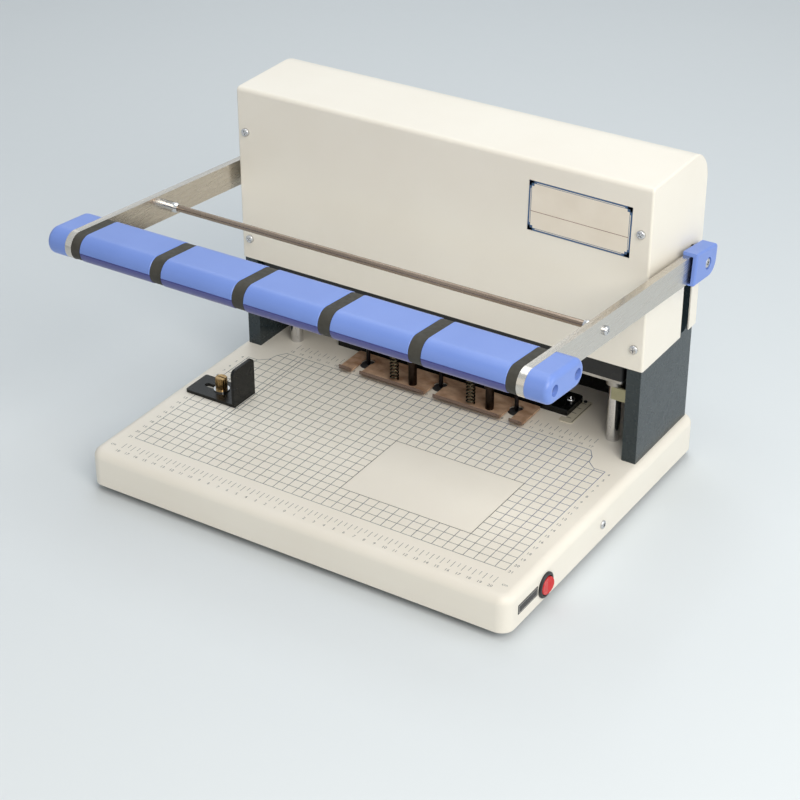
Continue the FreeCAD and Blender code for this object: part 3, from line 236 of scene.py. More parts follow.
def printed(name, near, far):
    """Screen ink, greyer towards the front left and bluer towards the back right, a little worn."""
    finish = start_finish(name, specular_ior_level=0.3, roughness=0.6)
    place = along(finish)
    slope = add_node(finish, "VectorMath", {"operation": "DOT_PRODUCT"}, {0: place, 1: (1.0, 1.4, 0.0)})
    shift = between(finish, slope.outputs["Value"], 0.0, 1.0, 0.0, 0.16)
    tint = two_tones(finish, shift, near, far)
    worn = between(finish, grain(finish, place, 160), 0.0, 0.35)
    wire(finish, "Base Color", two_tones(finish, worn, tint, paint(196, 198, 194)))
    return finish


grid_half, grid_rows, grid_back = 19, 20, 19.8
column_ends = {16: 19.7, 17: 18.1, 18: 17.3, 19: 17.3}
row_ends = {18: 17.05, 19: 16.85}
corner_steps = [(19, 17.3), (17.9, 17.3), (17.05, 18.05), (16.9, 18.9), (16.3, grid_back)]
bare_left, bare_right, bare_front, bare_back = 1, 14, 3, 12
paper_left, paper_right, paper_front = -14.4, -11, 5
grid_line, paper_line = 0.56 * mm, 0.7 * mm
grid_ink = printed("grid_ink", paint(80, 93, 100), paint(38, 74, 124))

open_mesh("table_grid")
for column in range(-grid_half, grid_half + 1):
    back = column_ends.get(abs(column), grid_back)
    whole, split = [(0, back)], [(0, bare_front), (bare_back, back)]
    for first, last in split if bare_left < column < bare_right else whole:
        print_line((column, first), (column, last), grid_line)
for row in range(grid_rows):
    reach = row_ends.get(row, grid_half)
    whole, split = [(-reach, reach)], [(-reach, bare_left), (bare_right, reach)]
    for first, last in split if bare_front < row < bare_back else whole:
        print_line((first, row), (last, row), grid_line)
for side in (-1, 1):
    for first, last in zip(corner_steps, corner_steps[1:]):
        print_line((side * first[0], first[1]), (side * last[0], last[1]), grid_line)
back_reach = corner_steps[-1][0]
print_line((-back_reach, grid_back), (back_reach, grid_back), grid_line)
print_line((paper_left, paper_front), (paper_left, grid_back), paper_line)
print_line((paper_left, paper_front), (paper_right, paper_front), paper_line)
for row in (bare_front, bare_back):
    print_line((bare_left, row), (bare_right, row), grid_line)
for column in (bare_left, bare_right):
    print_line((column, bare_front), (column, bare_back), grid_line)
close_mesh(grid_ink, "base", "black_paint")


# Table rulers --------------------------------------------------------------------------------
# Rulers are printed in front of the grid and behind it, counted both ways from beside the middle
# drill, with a long stroke at each centimetre and a short one between. The back one skips the drills.

ruler_ink = printed("ruler_ink", paint(86, 90, 92), paint(72, 80, 92))
ruler_line = 0.4 * mm
front_ruler, back_ruler = -1.15, 21.0
long_stroke, front_short, back_short = 0.8, 0.5, 0.45
back_half = 16
drill_clear = 9 * mm
drill_names = ("left", "middle", "right")
drills = [sum(corner[0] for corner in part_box("drill_bit_" + which)) / 2 for which in drill_names]

open_mesh("table_rulers")
for half in range(-2 * grid_half, 2 * grid_half + 1):
    across = half / 2
    at_centimetre = half % 2 == 0
    front_end = front_ruler - (long_stroke if at_centimetre else front_short)
    back_end = back_ruler + (long_stroke if at_centimetre else back_short)
    print_line((across, front_ruler), (across, front_end), ruler_line)
    at_drill = min(abs(across * cell - drill) for drill in drills) < drill_clear
    if abs(across) <= back_half and not at_drill:
        print_line((across, back_ruler), (across, back_end), ruler_line)
close_mesh(ruler_ink, "base", "black_paint")

number_size, paper_size = 4.6 * mm, 6 * mm
front_numbers, back_numbers, side_numbers = -2.5, 20.35, 19.5
zero_column, side_rows, first_side_number = -1, 18, 21
unit_column, unit_row = 20, -1.8
paper_word = (-12.9, 5.5)


def write_on_table(letters, across, inward, size=number_size):
    """Lay one word or number flat on the table, still as text."""
    place = on_table(across, inward)
    bpy.ops.object.text_add(location=(place.x, place.y, table_top))
    word = bpy.context.object
    word.data.body = letters
    word.data.size = size
    word.data.extrude = print_thick / 2
    word.data.resolution_u = 2
    word.data.align_x = "CENTER"
    word.data.align_y = "CENTER"
    return word


bpy.ops.object.select_all(action="DESELECT")
words = []
for column in range(-grid_half, grid_half + 1):
    count = str(abs(column - zero_column))
    words.append(write_on_table(count, column, front_numbers))
    if abs(column) <= back_half:
        words.append(write_on_table(count, column, back_numbers))
for row in range(side_rows):
    for across in (-side_numbers, side_numbers):
        words.append(write_on_table(str(first_side_number - row), across, row))
for across in (-unit_column, unit_column):
    words.append(write_on_table("cm", across, unit_row))
words.append(write_on_table("A4", *paper_word, paper_size))
bpy.ops.object.select_all(action="DESELECT")
for word in words:
    word.select_set(True)
bpy.context.view_layer.objects.active = words[0]
bpy.ops.object.convert(target="MESH")
bpy.ops.object.join()
bpy.ops.object.transform_apply(location=True, rotation=True, scale=True)
bpy.context.object.name = "table_numbers"
bpy.ops.object.mode_set(mode="EDIT")
bpy.ops.mesh.select_all(action="SELECT")
bpy.ops.mesh.remove_doubles(threshold=0.002 * mm)
bpy.ops.mesh.normals_make_consistent(inside=False)
close_mesh(ruler_ink, "base", "black_paint")


# Drill pads ----------------------------------------------------------------------------------
# Three nylon discs let into the table, which the drills end on, coloured near black.
# Turned nylon is waxy, and the bits score it grey.

pad_nylon = start_finish("pad_nylon", specular_ior_level=0.5)
pad_place = along(pad_nylon)
mottle(pad_nylon, grain(pad_nylon, pad_place, 260), paint(30, 32, 34), paint(58, 62, 66))
wire(pad_nylon, "Roughness", between(pad_nylon, grain(pad_nylon, pad_place, 700), 0.3, 0.5))
finish_nodes(pad_nylon, "drill_pads")


# Side frames and back panel ------------------------------------------------------------------
# Thick steel plates stand on the table and carry everything above. They are enamelled dark slate.
# The panel between them, the crossbar and the brackets are enamelled black.

slate_enamel = powder_coat("slate_enamel", paint(42, 54, 59), paint(36, 47, 52), 0.26)
black_enamel = powder_coat("black_enamel", paint(16, 17, 16), paint(12, 13, 13), 0.24, sheen=0.28)
finish_nodes(slate_enamel, "side_frame_left", "side_frame_right")
finish_nodes(black_enamel, "back_panel", "top_crossbar", "column_brackets", "motor_bracket")


# Guide columns and stop blocks ---------------------------------------------------------------
# Ground and hard-chromed columns guide the head, and a block beside each one ends its way down.
# Chrome is mirror bright, with a hair of grinding round it; the blocks are passivated steel.

def bright_metal(name, tone, shade, low, high, stretch=(40.0, 40.0, 40.0)):
    """Polished or plated metal whose gloss varies a little."""
    finish = start_finish(name, metallic=1.0)
    marks = grain(finish, along(finish, stretch), 10)
    mottle(finish, marks, tone, shade)
    wire(finish, "Roughness", between(finish, grain(finish, along(finish), 150), low, high))
    wire(finish, "Normal", dents(finish, marks, 0.01 * mm))
    return finish


ring_marks = (20.0, 20.0, 260.0)
hard_chrome = bright_metal("hard_chrome", paint(214, 214, 214), paint(196, 196, 198), 0.08, 0.2,
                           ring_marks)
bearing_bronze = bright_metal("bearing_bronze", paint(186, 158, 112), paint(160, 132, 90), 0.22, 0.36)
passivated = dull_metal("passivated_steel", paint(176, 174, 146), paint(158, 156, 130))
finish_nodes(hard_chrome, "guide_columns")
finish_nodes(passivated, "stop_collars")
finish_nodes(bearing_bronze, "spindle_bearings", "shaft_bearings")


# Drill head ----------------------------------------------------------------------------------
# A cast-iron beam, shot blasted and painted black, slides on the columns over a ground wear plate.
# The bushes, the racks, and the toothed sectors that lift it from the lever's shaft are ground too.

black_casting = powder_coat("black_casting", paint(28, 29, 30), paint(22, 23, 24), 0.55, 0.12 * mm)
ground_steel = dull_metal("ground_steel", paint(196, 194, 190), paint(150, 146, 140))
finish_nodes(black_casting, "head_beam")
finish_nodes(ground_steel, "guide_bushes", "wear_plate", "rack_left", "rack_right",
             "sector_gear_left", "sector_gear_right", "lever_shaft")


# Spindles, drills, belt and motor ------------------------------------------------------------
# Ground spindles hold black-oxide drills, and one flat rubber belt drives them from the motor.
# The motor's housing and the pulleys are cast aluminium.

oxide = bright_metal("black_oxide", paint(46, 46, 50), paint(34, 34, 38), 0.25, 0.42)
cast_aluminium = dull_metal("cast_aluminium", paint(190, 192, 194), paint(168, 170, 172))
belt_rubber = moulded_rubber("belt_rubber", paint(30, 30, 31), paint(48, 47, 46))
for which in drill_names:
    finish_nodes(hard_chrome, "spindle_" + which)
    finish_nodes(oxide, "drill_bit_" + which)
    finish_nodes(cast_aluminium, "spindle_pulley_" + which)
finish_nodes(cast_aluminium, "motor_housing", "motor_pulley")
finish_nodes(belt_rubber, "drive_belt")


# Presser -------------------------------------------------------------------------------------
# A steel clamp plate, notched at each drill, hangs on two pins under the head. It is passivated
# a coppery tan that has gone cloudy, with painted shade darkening the lip; the pins are browned.

lip_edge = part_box("presser_plate")[0][1]
lip_start, lip_end = lip_edge + 3 * mm, lip_edge + 7 * mm


def passivated_plate(name, tone, shade, lip_shade):
    """Plated sheet whose colour has clouded: a little bare metal, and more of a dull film; the lip is
    darkened with painted shade.
    """
    finish = start_finish(name, metallic=0.3)
    clouds = grain(finish, along(finish, (1.0, 1.6, 1.0)), 70, 5.0)
    clouded = two_tones(finish, between(finish, clouds, 0, 1), tone, shade)
    inward = add_node(finish, "SeparateXYZ", {}, {"Vector": along(finish)}).outputs["Y"]
    past_lip = between(finish, inward, 0, 1, lip_start, lip_end)
    # From the lip inward the colour turns from painted shade to the clouded tan.
    wire(finish, "Base Color", two_tones(finish, past_lip, lip_shade, clouded))
    wire(finish, "Roughness", between(finish, clouds, 0.36, 0.52))
    wire(finish, "Normal", dents(finish, grain(finish, along(finish), 420), 0.02 * mm))
    return finish


# The last colour is the painted shade on the lip.
coppery_plate = passivated_plate("coppery_plate", paint(232, 198, 168), paint(166, 124, 96),
                                 paint(112, 92, 80))
browned_steel = bright_metal("browned_steel", paint(58, 47, 40), paint(40, 33, 29), 0.3, 0.46)
finish_nodes(coppery_plate, "presser_plate")
finish_nodes(browned_steel, "presser_pins")


# Presser springs -----------------------------------------------------------------------------
# Two long springs, coiled from dark music wire, stand between the plate and the head.

spring_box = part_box("presser_springs")
spring_left, spring_front, spring_low = spring_box[0]
spring_right, spring_back, spring_high = spring_box[1]
spring_height = spring_high - spring_low
spring_radius = (spring_back - spring_front) / 2
spring_y = (spring_front + spring_back) / 2
first_spring, last_spring = spring_left + spring_radius, spring_right - spring_radius
spring_turns, steps_per_turn = 19, 20
wire_radius = 0.75 * mm
coil_radius = spring_radius - wire_radius
music_wire = bright_metal("music_wire", paint(104, 95, 74), paint(54, 50, 44), 0.2, 0.34)

open_mesh("springs")
bpy.ops.mesh.primitive_circle_add(vertices=8, radius=wire_radius, rotation=(math.pi / 2, 0, 0),
                                  location=(coil_radius, 0, spring_low + wire_radius))
bpy.ops.object.mode_set(mode="OBJECT")
coils = bpy.context.object.modifiers.new("coils", "SCREW")
coils.iterations = spring_turns
coils.screw_offset = (spring_height - 2 * wire_radius) / spring_turns
coils.steps = coils.render_steps = steps_per_turn
coils.use_normal_calculate = True
bpy.ops.object.modifier_apply(modifier="coils")
bpy.ops.object.mode_set(mode="EDIT")
bpy.ops.mesh.select_all(action="SELECT")
bpy.ops.mesh.remove_doubles(threshold=0.01 * mm)
bpy.ops.mesh.fill_holes(sides=0)
bpy.ops.mesh.select_all(action="SELECT")
bpy.ops.mesh.normals_make_consistent(inside=False)
bpy.ops.transform.translate(value=(first_spring, spring_y, 0))
bpy.ops.mesh.duplicate()
bpy.ops.transform.translate(value=(last_spring - first_spring, 0, 0))
bpy.ops.object.mode_set(mode="OBJECT")
bpy.ops.object.shade_smooth_by_angle(angle=math.radians(50))
springs = close_mesh(music_wire, "head", "machined_steel", "presser_springs")
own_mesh(springs)


# Cover ---------------------------------------------------------------------------------------
# The hood is bent from thin sheet steel and welded at the ends.
# It is coated like the base.

finish_nodes(ivory_coat, "cover")


# Screws --------------------------------------------------------------------------------------
# Chromed pan-head screws with a cross recess hold the cover, the base, the rear gauge and the
# lever's parts. The heads are pressed, so their rims are round.

def pick(piece, kind, wanted):
    """Open a piece in edit mode, and select those of its faces or edges that pass a test."""
    bpy.ops.object.mode_set(mode="EDIT")
    bpy.ops.mesh.select_mode(type=kind)
    bpy.ops.mesh.select_all(action="DESELECT")
    bpy.ops.object.mode_set(mode="OBJECT")
    for part in piece.data.polygons if kind == "FACE" else piece.data.edges:
        part.select = wanted(part)
    bpy.ops.object.mode_set(mode="EDIT")


def cut_box(piece, place, size, turn=0.0):
    """Cut a box out of a piece, after a turn about Z, and leave the piece active."""
    bpy.ops.object.select_all(action="DESELECT")
    bpy.ops.mesh.primitive_cube_add(size=1, location=place, rotation=(0, 0, turn), scale=size)
    cutter = bpy.context.object
    cut = piece.modifiers.new("cut", "BOOLEAN")
    cut.object = cutter
    cut.operation = "DIFFERENCE"
    bpy.context.view_layer.objects.active = piece
    bpy.ops.object.modifier_apply(modifier="cut")
    bpy.data.objects.remove(cutter)


def make_screw(head_radius, head_tall, shank_radius, shank_long):
    """One screw that stands on the origin with its head up, left as the active object."""
    bpy.ops.object.select_all(action="DESELECT")
    bpy.ops.mesh.primitive_cylinder_add(vertices=32, radius=head_radius, depth=head_tall,
                                        location=(0, 0, head_tall / 2))
    screw = bpy.context.object
    bpy.ops.object.transform_apply(location=True)

    def on_top(edge):
        """Tell whether an edge lies on the head's top."""
        ends = (screw.data.vertices[index].co for index in edge.vertices)
        return all(end.z > head_tall - 0.01 * mm for end in ends)

    pick(screw, "FACE", lambda face: face.normal.z < -0.9)
    bpy.ops.mesh.inset(thickness=head_radius - shank_radius)
    bpy.ops.mesh.extrude_region_move(TRANSFORM_OT_translate={"value": (0, 0, -shank_long)})
    pick(screw, "EDGE", on_top)
    bpy.ops.mesh.bevel(offset=0.7 * head_tall, segments=5, profile=0.6, clamp_overlap=True)
    bpy.ops.object.mode_set(mode="OBJECT")
    recess_size = (1.1 * head_radius, 0.24 * head_radius, 1.1 * head_tall)
    for turn in (0, math.pi / 2):
        cut_box(screw, (0, 0, head_tall), recess_size, turn)
    screw.select_set(True)
    bpy.ops.object.shade_smooth_by_angle(angle=math.radians(40))
    return screw


def set_screws(name, node, body, screw, places):
    """Copy a screw to each place, turned to face its way, and join the copies in one piece."""
    copies = []
    for place, facing, turn in places:
        bpy.ops.object.select_all(action="DESELECT")
        screw.select_set(True)
        bpy.context.view_layer.objects.active = screw
        bpy.ops.object.duplicate()
        copy = bpy.context.object
        aimed = Vector(facing).to_track_quat("Z", "Y").to_matrix()
        copy.rotation_euler = (aimed @ Matrix.Rotation(turn, 3, "Z")).to_euler()
        copy.location = place
        copies.append(copy)
    bpy.data.objects.remove(screw)
    bpy.ops.object.select_all(action="DESELECT")
    for copy in copies:
        copy.select_set(True)
    bpy.context.view_layer.objects.active = copies[0]
    bpy.ops.object.join()
    bpy.ops.object.transform_apply(location=True, rotation=True, scale=True)
    bpy.context.object.name = name
    close_mesh(hard_chrome, body, "hard_chrome", node)


def middle_of(node):
    """The middle of a CAD node's box."""
    return [(low + high) / 2 for low, high in zip(*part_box(node))]


def both_sides(side_x, y, z, turn):
    """The places of a screw in the left side and its twin in the right, each facing outward."""
    return [((side * side_x, y, z), (side, 0, 0), turn) for side in (-1, 1)]


cover_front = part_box("cover")[0][1]
cover_screw = make_screw(4 * mm, 2.6 * mm, 1.9 * mm, 13 * mm)
cover_screw_x, cover_screw_high, cover_screw_low = 199 * mm, 262.6 * mm, 155.3 * mm
set_screws("cover_cross_screws", "cover_screws", "base", cover_screw,
           [((-cover_screw_x, cover_front, cover_screw_high), (0, -1, 0), 0.3),
            ((-cover_screw_x, cover_front, cover_screw_low), (0, -1, 0), 1.0),
            ((cover_screw_x, cover_front, cover_screw_high), (0, -1, 0), 0.6),
            ((cover_screw_x, cover_front, cover_screw_low), (0, -1, 0), 0.15)])

base_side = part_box("base_shell")[1][0]
base_screw = make_screw(3.9 * mm, 2.0 * mm, 1.6 * mm, 9 * mm)
base_screw_y, base_screw_high = -9.4 * mm, 23.7 * mm
set_screws("base_cross_screws", "base_screws", "base", base_screw,
           both_sides(base_side, base_screw_y, base_screw_high, 0.4))

gauge_screw = make_screw(4 * mm, 2.5 * mm, 2 * mm, 12 * mm)
gauge_screw_y, gauge_screw_high = 121.5 * mm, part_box("rear_gauge")[1][2] + 0.3 * mm
set_screws("gauge_cross_screws", "gauge_screws", "base", gauge_screw,
           [((x, gauge_screw_y, gauge_screw_high), (0, 0, 1), 0.5) for x in (-124 * mm, 112 * mm)])

arm_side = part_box("lever_arm_right")[1][0]
rod_middle = middle_of("tie_rod")
rod_screw = make_screw(4 * mm, 2.6 * mm, 1.9 * mm, 16 * mm)
set_screws("rod_cross_screws", "tie_rod_screws", "lever", rod_screw,
           both_sides(arm_side, rod_middle[1], rod_middle[2], 0.9))

shaft_middle = middle_of("lever_shaft")
cap_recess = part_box("pivot_caps")[1][0] - 2.5 * mm
pivot_screw = make_screw(4.6 * mm, 2.2 * mm, 2.4 * mm, 15 * mm)
set_screws("pivot_cross_screws", "pivot_screws", "lever", pivot_screw,
           both_sides(cap_recess, shaft_middle[1], shaft_middle[2], 0.2))


# Name plate ----------------------------------------------------------------------------------
# A printed metal foil is stuck on the cover's front, and it is left bare but for its ruled border.
# The border is two blue lines with stepped corners, and one brown rule crosses the foil.

plate_wide, plate_tall = 97 * mm, 46.8 * mm
plate_side, plate_end = plate_wide / 2, plate_tall / 2
plate_place = (141.8 * mm, 0, 262.7 * mm)
plate_lean = math.radians(1.1)
foil_thick, foil_print = 0.3 * mm, 0.05 * mm
border_lines = ((0.4 * mm, 1.5 * mm), (2.6 * mm, 0.4 * mm))
corner_inset = 0.6 * mm
corner_blocks = ((7.0 * mm, 2.2 * mm), (4.6 * mm, 4.6 * mm), (2.2 * mm, 7.0 * mm))
rule_inset, rule_line = 2.8 * mm, 0.5 * mm
rule_high = 0.39 * plate_tall - plate_end


def printed_foil(name, tone, shade):
    """Satin printed foil with a few faint clouds."""
    finish = start_finish(name, specular_ior_level=0.5)
    mottle(finish, grain(finish, along(finish), 45), tone, shade)
    wire(finish, "Roughness", between(finish, grain(finish, along(finish), 300), 0.28, 0.4))
    return finish


def add_slab(low, high):
    """Add a box between two corners to the mesh that is open."""
    low, high = Vector(low), Vector(high)
    bpy.ops.mesh.primitive_cube_add(size=1, location=(low + high) / 2, scale=high - low)


def plate_slab(left, right, low, high, proud):
    """Add a thin printed box on the name plate, its face this far in front of the cover."""
    add_slab((left, cover_front - proud, low), (right, cover_front - proud + foil_print, high))


def frame_bars(left, right, low, high, line):
    """The four bars of a rectangular frame, each as its left, right, low and high ends."""
    return ((left, left + line, low, high), (right - line, right, low, high),
            (left + line, right - line, low, low + line), (left + line, right - line, high - line, high))


def round_rims(width, segments):
    """Round all the rims of the active piece."""
    rims = bpy.context.object.modifiers.new("rims", "BEVEL")
    rims.width = width
    rims.segments = segments
    bpy.ops.object.modifier_apply(modifier="rims")


def stick_on_cover(finish):
    """Move a layer of the plate to its place on the cover, where it sits a little crooked."""
    if bpy.context.mode == "EDIT_MESH":
        bpy.ops.object.mode_set(mode="OBJECT")
    layer = bpy.context.object
    layer.location = plate_place
    layer.rotation_euler = (0, plate_lean, 0)
    layer.select_set(True)
    bpy.ops.object.transform_apply(location=True, rotation=True, scale=True)
    close_mesh(finish, "base", "ivory_paint")


foil = printed_foil("foil", paint(238, 230, 216), paint(232, 223, 208))
foil_blue = printed_foil("foil_blue", paint(62, 92, 132), paint(74, 104, 140))
foil_brown = printed_foil("foil_brown", paint(150, 112, 98), paint(140, 104, 92))
open_mesh("name_plate")
add_slab((-plate_side, cover_front - foil_thick, -plate_end), (plate_side, cover_front, plate_end))
bpy.ops.object.mode_set(mode="OBJECT")
round_rims(0.1 * mm, 2)
stick_on_cover(foil)

open_mesh("name_plate_border")
for inset, line in border_lines:
    side, end = plate_side - inset, plate_end - inset
    for bar in frame_bars(-side, side, -end, end, line):
        plate_slab(*bar, foil_thick + foil_print)
for wide, tall in corner_blocks:
    side, end = plate_side - corner_inset, plate_end - corner_inset
    for left, right in ((-side, wide - side), (side - wide, side)):
        for low, high in ((-end, tall - end), (end - tall, end)):
            plate_slab(left, right, low, high, foil_thick + 1.6 * foil_print)
stick_on_cover(foil_blue)

open_mesh("name_plate_rule")
plate_slab(rule_inset - plate_side, plate_side - rule_inset, rule_high, rule_high + rule_line,
           foil_thick + foil_print)
stick_on_cover(foil_brown)


# Lever arms ----------------------------------------------------------------------------------
# Flat bars cut from polished stainless strip, with the polishing lines along the bar.
# The thin rod that ties them is a duller drawn steel.

def polished_strip(name, tone, shade):
    """Strip steel with fine polishing lines along the bar."""
    finish = start_finish(name, metallic=1.0, anisotropic=0.4)
    lines = grain(finish, along(finish, (300.0, 7.0, 300.0)), 6)
    mottle(finish, lines, tone, shade)
    wire(finish, "Roughness", between(finish, lines, 0.16, 0.32))
    wire(finish, "Normal", dents(finish, lines, 0.008 * mm))
    return finish


strip_steel = polished_strip("strip_steel", paint(212, 207, 199), paint(202, 196, 187))
drawn_marks = (1.0, 20.0, 20.0)
rod_steel = bright_metal("rod_steel", paint(154, 138, 124), paint(136, 120, 106), 0.2, 0.32, drawn_marks)
finish_nodes(strip_steel, "lever_arm_left", "lever_arm_right")
finish_nodes(rod_steel, "tie_rod")
finish_nodes(hard_chrome, "tie_rod_collars", "handle_bolts")


# Grip ----------------------------------------------------------------------------------------
# Blue nylon mouldings and rubber bands, threaded on two long bolts between the arms. Each
# moulding is an upper and a lower shell; the lower ones are painted a darker, more purple blue
# as shade on the grip's underside.

def moulded_plastic(name, tone, shade, rough):
    """Injection-moulded plastic with a soft sheen and a faint ripple from the mould."""
    finish = start_finish(name, specular_ior_level=0.5)
    place = along(finish)
    mottle(finish, grain(finish, place, 14), tone, shade)
    wire(finish, "Roughness", between(finish, grain(finish, place, 26, 1.0), rough - 0.02, rough + 0.04))
    wire(finish, "Normal", dents(finish, grain(finish, place, 220, 0.0), 0.015 * mm))
    return finish


def tint_below(finish, upward, parting, tone):
    """Paint shade in another colour on a finish below a plane, which lies this far along the upward
    direction.
    """
    shader = finish.node_tree.nodes["Principled BSDF"]
    upper_tone = shader.inputs["Base Color"].links[0].from_socket
    rise = add_node(finish, "VectorMath", {"operation": "DOT_PRODUCT"}, {0: along(finish), 1: upward})
    above = between(finish, rise.outputs["Value"], 0, 1, parting - 0.2 * mm, parting + 0.2 * mm)
    wire(finish, "Base Color", two_tones(finish, above, tone, upper_tone))


grip_blue, grip_shade, grip_gloss = paint(119, 148, 222), paint(111, 140, 214), 0.3
blue_nylon = moulded_plastic("blue_nylon", grip_blue, grip_shade, grip_gloss)
grip_shells = moulded_plastic("grip_shells", grip_blue, grip_shade, grip_gloss)
band_rubber = moulded_rubber("band_rubber", paint(58, 57, 52), paint(68, 66, 60))

grip_middle = Vector(middle_of("grip_segments"))
lever_run = grip_middle - Vector(shaft_middle)
grip_up = Vector((0, lever_run.z, -lever_run.y)).normalized()
# Below the parting line the shells get painted shade, a darker purple blue.
tint_below(grip_shells, grip_up, grip_up.dot(grip_middle) - 1.7 * mm, paint(73, 77, 142))
finish_nodes(grip_shells, "grip_segments")
finish_nodes(blue_nylon, "grip_end_caps", "pivot_caps")
finish_nodes(band_rubber, "grip_bands")


# Table stops ---------------------------------------------------------------------------------
# A folded side stop, black enamelled, under a brass thumb screw on a plated washer; and a black
# rear gauge bar.

brass = bright_metal("brass", paint(178, 150, 104), paint(146, 118, 80), 0.18, 0.32)
finish_nodes(black_enamel, "side_stop", "rear_gauge")
finish_nodes(brass, "stop_screw")
finish_nodes(hard_chrome, "stop_washer")


# Margin scale --------------------------------------------------------------------------------
# A clear strip beside the rear gauge shows how far in the holes fall. It is pinned at its back
# end, is cut away beside the gauge, and carries four strokes and, along its right edge, a dark line of
# painted shade.

scale_left, scale_right, scale_front, scale_back = 114.2 * mm, 127.8 * mm, 93 * mm, 136 * mm
scale_thick = 0.8 * mm
scale_top = table_top + scale_thick
gauge_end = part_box("rear_gauge")[1][0] + 0.4 * mm
cut_front, cut_wide, cut_long, cut_tall = 100.4 * mm, 10 * mm, 50 * mm, 10 * mm

clear_strip = start_finish("clear_strip", specular_ior_level=0.5)
strip_place = along(clear_strip)
mottle(clear_strip, grain(clear_strip, strip_place, 60), paint(224, 219, 202), paint(214, 208, 190))
wire(clear_strip, "Roughness", between(clear_strip, grain(clear_strip, strip_place, 300), 0.12, 0.24))

open_mesh("margin_scale")
add_slab((scale_left, scale_front, table_top), (scale_right, scale_back, scale_top))
bpy.ops.object.mode_set(mode="OBJECT")
strip = bpy.context.object
cut_box(strip, (gauge_end - cut_wide / 2, cut_front + cut_long / 2, table_top),
        (cut_wide, cut_long, cut_tall))


def outer_corner(edge):
    """Tell the upright edges at the strip's right side and at its front."""
    first, last = (strip.data.vertices[index].co for index in edge.vertices)
    outer = first.x > scale_right - 0.1 * mm or first.y < scale_front + 0.1 * mm
    return outer and abs(first.z - last.z) > 0.5 * scale_thick


pick(strip, "EDGE", outer_corner)
bpy.ops.mesh.bevel(offset=2.5 * mm, segments=6)
bpy.ops.object.mode_set(mode="OBJECT")
round_rims(0.2 * mm, 2)
close_mesh(clear_strip, "base", "white_nylon")

mark_ink_and_edge_shade = printed("mark_ink_and_edge_shade", paint(112, 104, 72), paint(96, 88, 64))
mark_count, first_mark, mark_step, mark_wide = 4, 8 * mm, 9.6 * mm, 0.9 * mm
open_mesh("margin_scale_marks")
for step in range(mark_count):
    mark_y = scale_front + first_mark + mark_step * step
    add_slab((gauge_end + 0.4 * mm, mark_y, scale_top),
             (gauge_end + 5.0 * mm, mark_y + mark_wide, scale_top + print_thick))
# A dark line along the strip's right edge, painted shade of that edge.
add_slab((scale_right - 1.4 * mm, scale_front + 3 * mm, scale_top),
         (scale_right - 0.5 * mm, scale_back - 3 * mm, scale_top + print_thick))
close_mesh(mark_ink_and_edge_shade, "base", "black_paint")

pin_x, pin_y, pin_radius, pin_tall = 121.2 * mm, 133 * mm, 1.7 * mm, 1.6 * mm
bpy.ops.object.select_all(action="DESELECT")
bpy.ops.mesh.primitive_cylinder_add(vertices=24, radius=pin_radius, depth=pin_tall,
                                    location=(pin_x, pin_y, scale_top + pin_tall / 2))
bpy.context.object.name = "margin_scale_pin"
bpy.ops.object.transform_apply(location=True)
round_rims(0.6 * mm, 4)
bpy.ops.object.shade_smooth_by_angle(angle=math.radians(50))
close_mesh(oxide, "base", "black_paint")


# Switch and inlet ----------------------------------------------------------------------------
# A round rocker in a black bezel on the base's right side, and a three-pin inlet in its back.
# All three are moulded plastic, and the rocker is bright red.

black_plastic = moulded_plastic("black_plastic", paint(34, 34, 36), paint(28, 28, 30), 0.34)
red_plastic = moulded_plastic("red_plastic", paint(214, 30, 30), paint(200, 24, 26), 0.22)
finish_nodes(black_plastic, "switch_bezel", "power_inlet")
finish_nodes(red_plastic, "switch_rocker")


# Switch label --------------------------------------------------------------------------------
# A black foil strip with a thin white frame is stuck beside the switch.
# It is left bare.

label_front, label_back, label_low, label_high = -154 * mm, -122 * mm, 19 * mm, 28 * mm
frame_inset, frame_line = 1.1 * mm, 0.35 * mm
label_face = base_side + foil_thick
label_black = printed_foil("label_black", paint(30, 28, 28), paint(38, 36, 36))
label_white = printed_foil("label_white", paint(206, 204, 198), paint(196, 194, 188))
open_mesh("switch_label")
add_slab((base_side, label_front, label_low), (label_face, label_back, label_high))
bpy.ops.object.mode_set(mode="OBJECT")
round_rims(0.1 * mm, 2)
close_mesh(label_black, "base", "black_plastic")

open_mesh("switch_label_frame")
for front, back, low, high in frame_bars(label_front + frame_inset, label_back - frame_inset,
                                         label_low + frame_inset, label_high - frame_inset, frame_line):
    add_slab((label_face, front, low), (label_face + foil_print, back, high))
close_mesh(label_white, "base", "ivory_paint")


# Studio --------------------------------------------------------------------------------------
# A pale floor, five softboxes, an even pale surround and a camera at the right front. What the
# camera and polished metal see of the surround is a pale backdrop.

floor_size = 6.0
bpy.ops.object.select_all(action="DESELECT")
bpy.ops.mesh.primitive_plane_add(size=floor_size, location=(0, 0, 0))
floor = bpy.context.object
floor.name = "floor"
floor_paint = start_finish("floor_paint", specular_ior_level=0.2)
floor_place = along(floor_paint)
wire(floor_paint, "Base Color", two_tones(floor_paint, grain(floor_paint, floor_place, 2),
                                          paint(222, 228, 232), paint(218, 225, 230)))
wire(floor_paint, "Roughness", between(floor_paint, grain(floor_paint, floor_place, 60), 0.6, 0.8))
floor.data.materials.append(floor_paint)


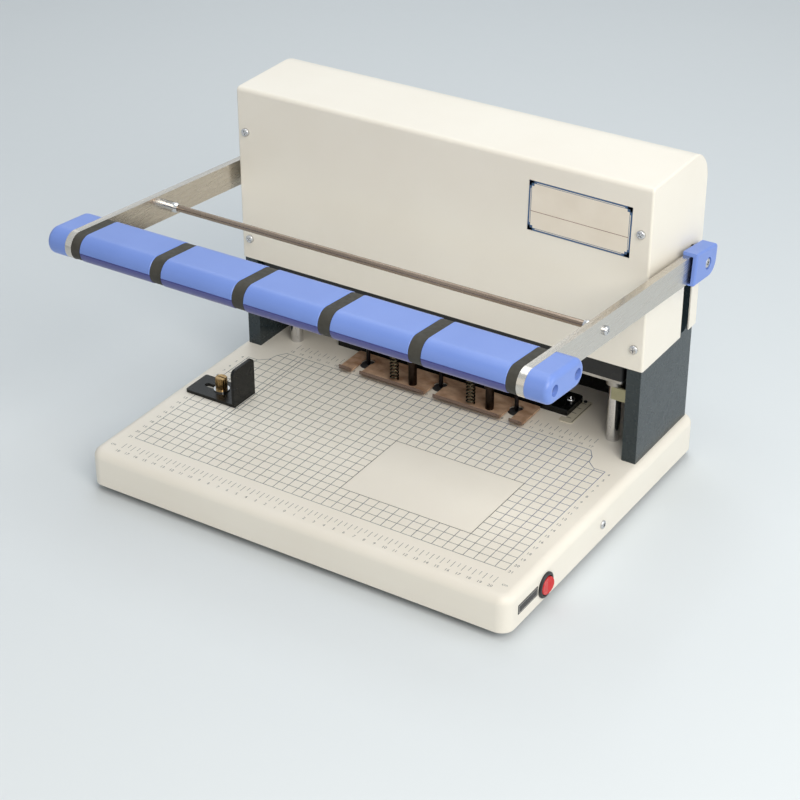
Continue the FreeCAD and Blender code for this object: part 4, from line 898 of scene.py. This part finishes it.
def softbox(name, place, aim, size, watts, tint):
    """A square softbox that faces a point."""
    lamp = bpy.data.lights.new(name, "AREA")
    lamp.size = size
    lamp.energy = watts
    lamp.color = tint
    holder = bpy.data.objects.new(name, lamp)
    holder.location = place
    holder.rotation_euler = (Vector(aim) - Vector(place)).to_track_quat("-Z", "Y").to_euler()
    bpy.context.scene.collection.objects.link(holder)


softbox("key_box", (1.35, -0.95, 1.45), (0, 0, 0.1), 1.3, 27, (1.0, 0.95, 0.87))
softbox("top_box", (0.0, 0.2, 2.6), (0, 0, 0.1), 1.8, 23, (0.93, 0.97, 1.0))
softbox("right_box", (1.7, 0.5, 0.7), (0, 0, 0.15), 1.0, 7, (1.0, 0.99, 0.96))
softbox("front_box", (-0.2, -2.2, 0.7), (0, 0, 0.1), 2.0, 4, (1.0, 0.8, 0.55))
softbox("back_box", (-0.7, 1.15, 1.55), (0, 0, 0.15), 1.2, 5, (0.95, 0.98, 1.0))

world = bpy.data.worlds.new("surround")
world.use_nodes = True
bpy.context.scene.world = world
surround = world.node_tree.nodes["Background"]
surround.inputs["Color"].default_value = paint(232, 234, 234)
surround.inputs["Strength"].default_value = 0.34
backdrop = add_node(world, "Background", {}, {"Color": paint(216, 222, 226), "Strength": 1.0})
ray = add_node(world, "LightPath", {}, {})
seen = ray.outputs["Is Camera Ray"]
for way in ("Is Glossy Ray", "Is Transmission Ray"):
    seen = add_node(world, "Math", {"operation": "MAXIMUM"}, {0: seen, 1: ray.outputs[way]}).outputs[0]
shown = add_node(world, "MixShader", {}, {0: seen, 1: surround.outputs[0], 2: backdrop.outputs[0]})
sky = world.node_tree.nodes["World Output"]
world.node_tree.links.new(shown.outputs[0], sky.inputs["Surface"])

camera_place = Vector((0.8543, -1.3445, 1.0212))
camera_heading, camera_dip, camera_roll = math.radians(34.08), math.radians(31.29), math.radians(-1.01)
lens = bpy.data.cameras.new("camera")
lens.lens = 93.96
lens.shift_x, lens.shift_y = 0.0701, 0.0259
camera = bpy.data.objects.new("camera", lens)
aimed = Euler((math.pi / 2 - camera_dip, 0, camera_heading)).to_matrix()
turned = (aimed @ Matrix.Rotation(camera_roll, 3, "Z")).to_4x4()
camera.matrix_world = Matrix.Translation(camera_place) @ turned
bpy.context.scene.collection.objects.link(camera)
bpy.context.scene.camera = camera
bpy.context.scene.view_settings.view_transform = "Standard"
